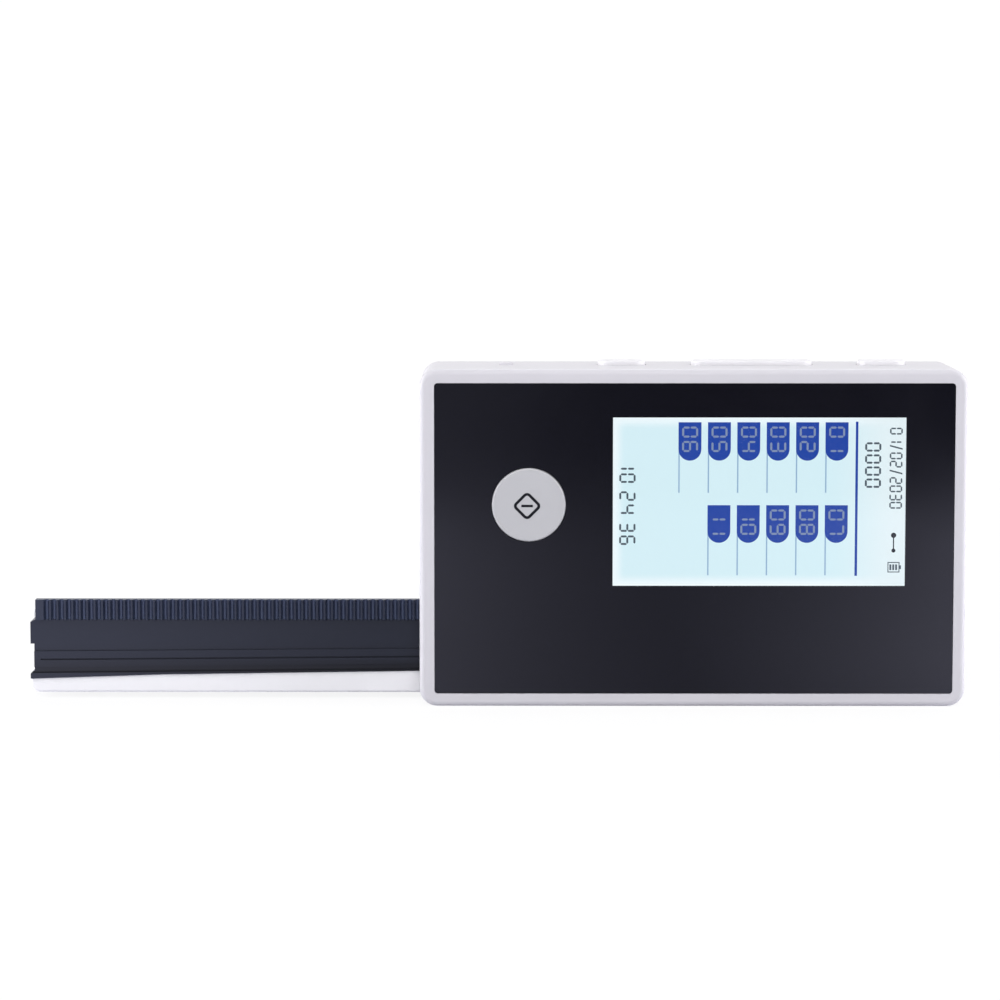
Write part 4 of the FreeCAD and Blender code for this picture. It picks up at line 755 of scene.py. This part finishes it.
def white_sheet(tree):
    """Flat white far off; near the part, a share of it is lit, so that it can take a shadow."""
    place = add(tree, "ShaderNodeTexCoord").outputs["Object"]
    reach = add(tree, "ShaderNodeVectorMath", {"operation": "LENGTH"}, place)
    far = add(tree, "ShaderNodeMapRange", SMOOTH, Value=reach.outputs["Value"],
              From_Min=SHADOW_FADE[0], From_Max=SHADOW_FADE[1])
    share = add(tree, "ShaderNodeMath", {"operation": "MULTIPLY_ADD"}, far.outputs["Result"],
                1 - FLAT_SHARE, FLAT_SHARE)
    lit = add(tree, "ShaderNodeBsdfDiffuse", Color=srgb("#FFFFFF"))
    flat = add(tree, "ShaderNodeEmission", Color=srgb("#FFFFFF"), Strength=WHITE_LEVEL)
    return add(tree, "ShaderNodeMixShader", None, share.outputs[0], lit.outputs[0],
               flat.outputs[0])


# %% Floor
FLOOR = 3.0
floor_mesh = bpy.data.meshes.new("floor")
corners = [(x * FLOOR, y * FLOOR, 0) for x, y in ((-1, -1), (1, -1), (1, 1), (-1, 1))]
floor_mesh.from_pydata(corners, [], [(0, 1, 2, 3)])
floor = bpy.data.objects.new("floor", floor_mesh)
bpy.context.scene.collection.objects.link(floor)
floor_white, tree, surface = new_material("Studio_floor", Roughness=0.9,
                                          Base_Color=srgb("#C2C2C6"))
straight, gloss = seeing_rays(tree)
seen = add(tree, "ShaderNodeMixShader", None, straight, surface.outputs[0],
           white_sheet(tree).outputs[0])
mirrored = add(tree, "ShaderNodeMixShader", None, gloss, seen.outputs[0],
               sheet_glow(tree).outputs[0])
tree.links.new(mirrored.outputs[0], tree.nodes["Material Output"].inputs["Surface"])
floor_mesh.materials.append(floor_white)
print("floor", 2 * FLOOR, "m wide")

# %% [markdown]
# ## The room
# Behind the product the room is a white backdrop, also in gloss. In front of it the room is dim,
# so that the lamps shape the object, and dimmer still in gloss, so that its plastics keep their
# depth. A world's Generated coordinates are the direction in which a ray leaves.

# %% World
ROOM_TINT, ROOM_LEVEL, ROOM_IN_GLOSS = "#F6F6FF", 0.36, 0.26
BACKDROP_EDGE = (-0.1, 0.2)
world = bpy.data.worlds.new("studio")
bpy.context.scene.world = world
world.use_nodes = True
tree = world.node_tree
room = tree.nodes["Background"]
room.inputs["Color"].default_value = srgb(ROOM_TINT)
backdrop = add(tree, "ShaderNodeBackground", Color=srgb("#FFFFFF"), Strength=WHITE_LEVEL)
straight, gloss = seeing_rays(tree)
heading = add(tree, "ShaderNodeTexCoord").outputs["Generated"]
axes = add(tree, "ShaderNodeSeparateXYZ", Vector=heading)
behind = add(tree, "ShaderNodeMapRange", SMOOTH, Value=axes.outputs["Y"],
             From_Min=BACKDROP_EDGE[0], From_Max=BACKDROP_EDGE[1])
gloss_behind = add(tree, "ShaderNodeMath", {"operation": "MULTIPLY"}, gloss,
                   behind.outputs["Result"])
white_share = add(tree, "ShaderNodeMath", {"operation": "MAXIMUM"}, straight,
                  gloss_behind.outputs[0])
dim = add(tree, "ShaderNodeMapRange", Value=gloss, To_Min=ROOM_LEVEL, To_Max=ROOM_IN_GLOSS)
tree.links.new(dim.outputs["Result"], room.inputs["Strength"])
choose = add(tree, "ShaderNodeMixShader", None, white_share.outputs[0], room.outputs[0],
             backdrop.outputs[0])
tree.links.new(choose.outputs[0], tree.nodes["World Output"].inputs["Surface"])
print("room at", ROOM_LEVEL, "and", ROOM_IN_GLOSS, "in gloss")

# %% [markdown]
# ## The lamps
# Five softboxes stand round the part: two at its sides that draw its edges, one in front, a large
# weak one above, and one high behind for the back. Large lamps give soft shadows. Each is aimed
# near the middle of the part.

# %% Lamps
TARGET = (-0.03, 0, 0.03)
# each lamp: its name, its place in metres, its width and height, its power in watts
LAMPS = (("top_softbox", (0.0, -0.10, 0.75), (1.5, 1.1), 1.2),
         ("left_softbox", (-0.95, -0.14, 0.32), (0.6, 0.6), 6.8),
         ("right_softbox", (0.95, -0.14, 0.32), (0.6, 0.6), 7.0),
         ("front_softbox", (-0.10, -1.30, 0.55), (0.9, 0.5), 6.0),
         ("back_softbox", (0.10, 0.80, 1.15), (0.9, 0.5), 2.5))


def lamp(title, where, size, power):
    """A rectangular softbox at a place, aimed at the target."""
    data = bpy.data.lights.new(title, "AREA")
    data.shape = "RECTANGLE"
    data.size, data.size_y = size
    data.energy = power
    item = bpy.data.objects.new(title, data)
    bpy.context.scene.collection.objects.link(item)
    item.location = where
    item.rotation_euler = (Vector(TARGET) - Vector(where)).to_track_quat("-Z", "Y").to_euler()


for row in LAMPS:
    lamp(*row)
print(len(LAMPS), "lamps,", sum(row[3] for row in LAMPS), "watts")

# %% [markdown]
# ## The camera
# A long lens from a little above, almost square on, keeps the housing's edges nearly parallel.
# The view transform is Standard, so that a colour comes out as it is written.

# %% Camera
FOCAL, SENSOR = 126.0, 36.0
EYE = (-0.03740, -0.73913, 0.11488)
PITCH_DOWN, TURN_LEFT = 5.633, 0.220
camera_data = bpy.data.cameras.new("camera")
camera_data.lens = FOCAL
camera_data.sensor_width = SENSOR
camera_data.clip_start = 0.01
camera = bpy.data.objects.new("camera", camera_data)
bpy.context.scene.collection.objects.link(camera)
camera.location = EYE
camera.rotation_euler = (math.radians(90 - PITCH_DOWN), 0.0, math.radians(TURN_LEFT))
bpy.context.scene.camera = camera
bpy.context.scene.view_settings.view_transform = "Standard"
print("lens", FOCAL, "mm, down by", PITCH_DOWN, "degrees")
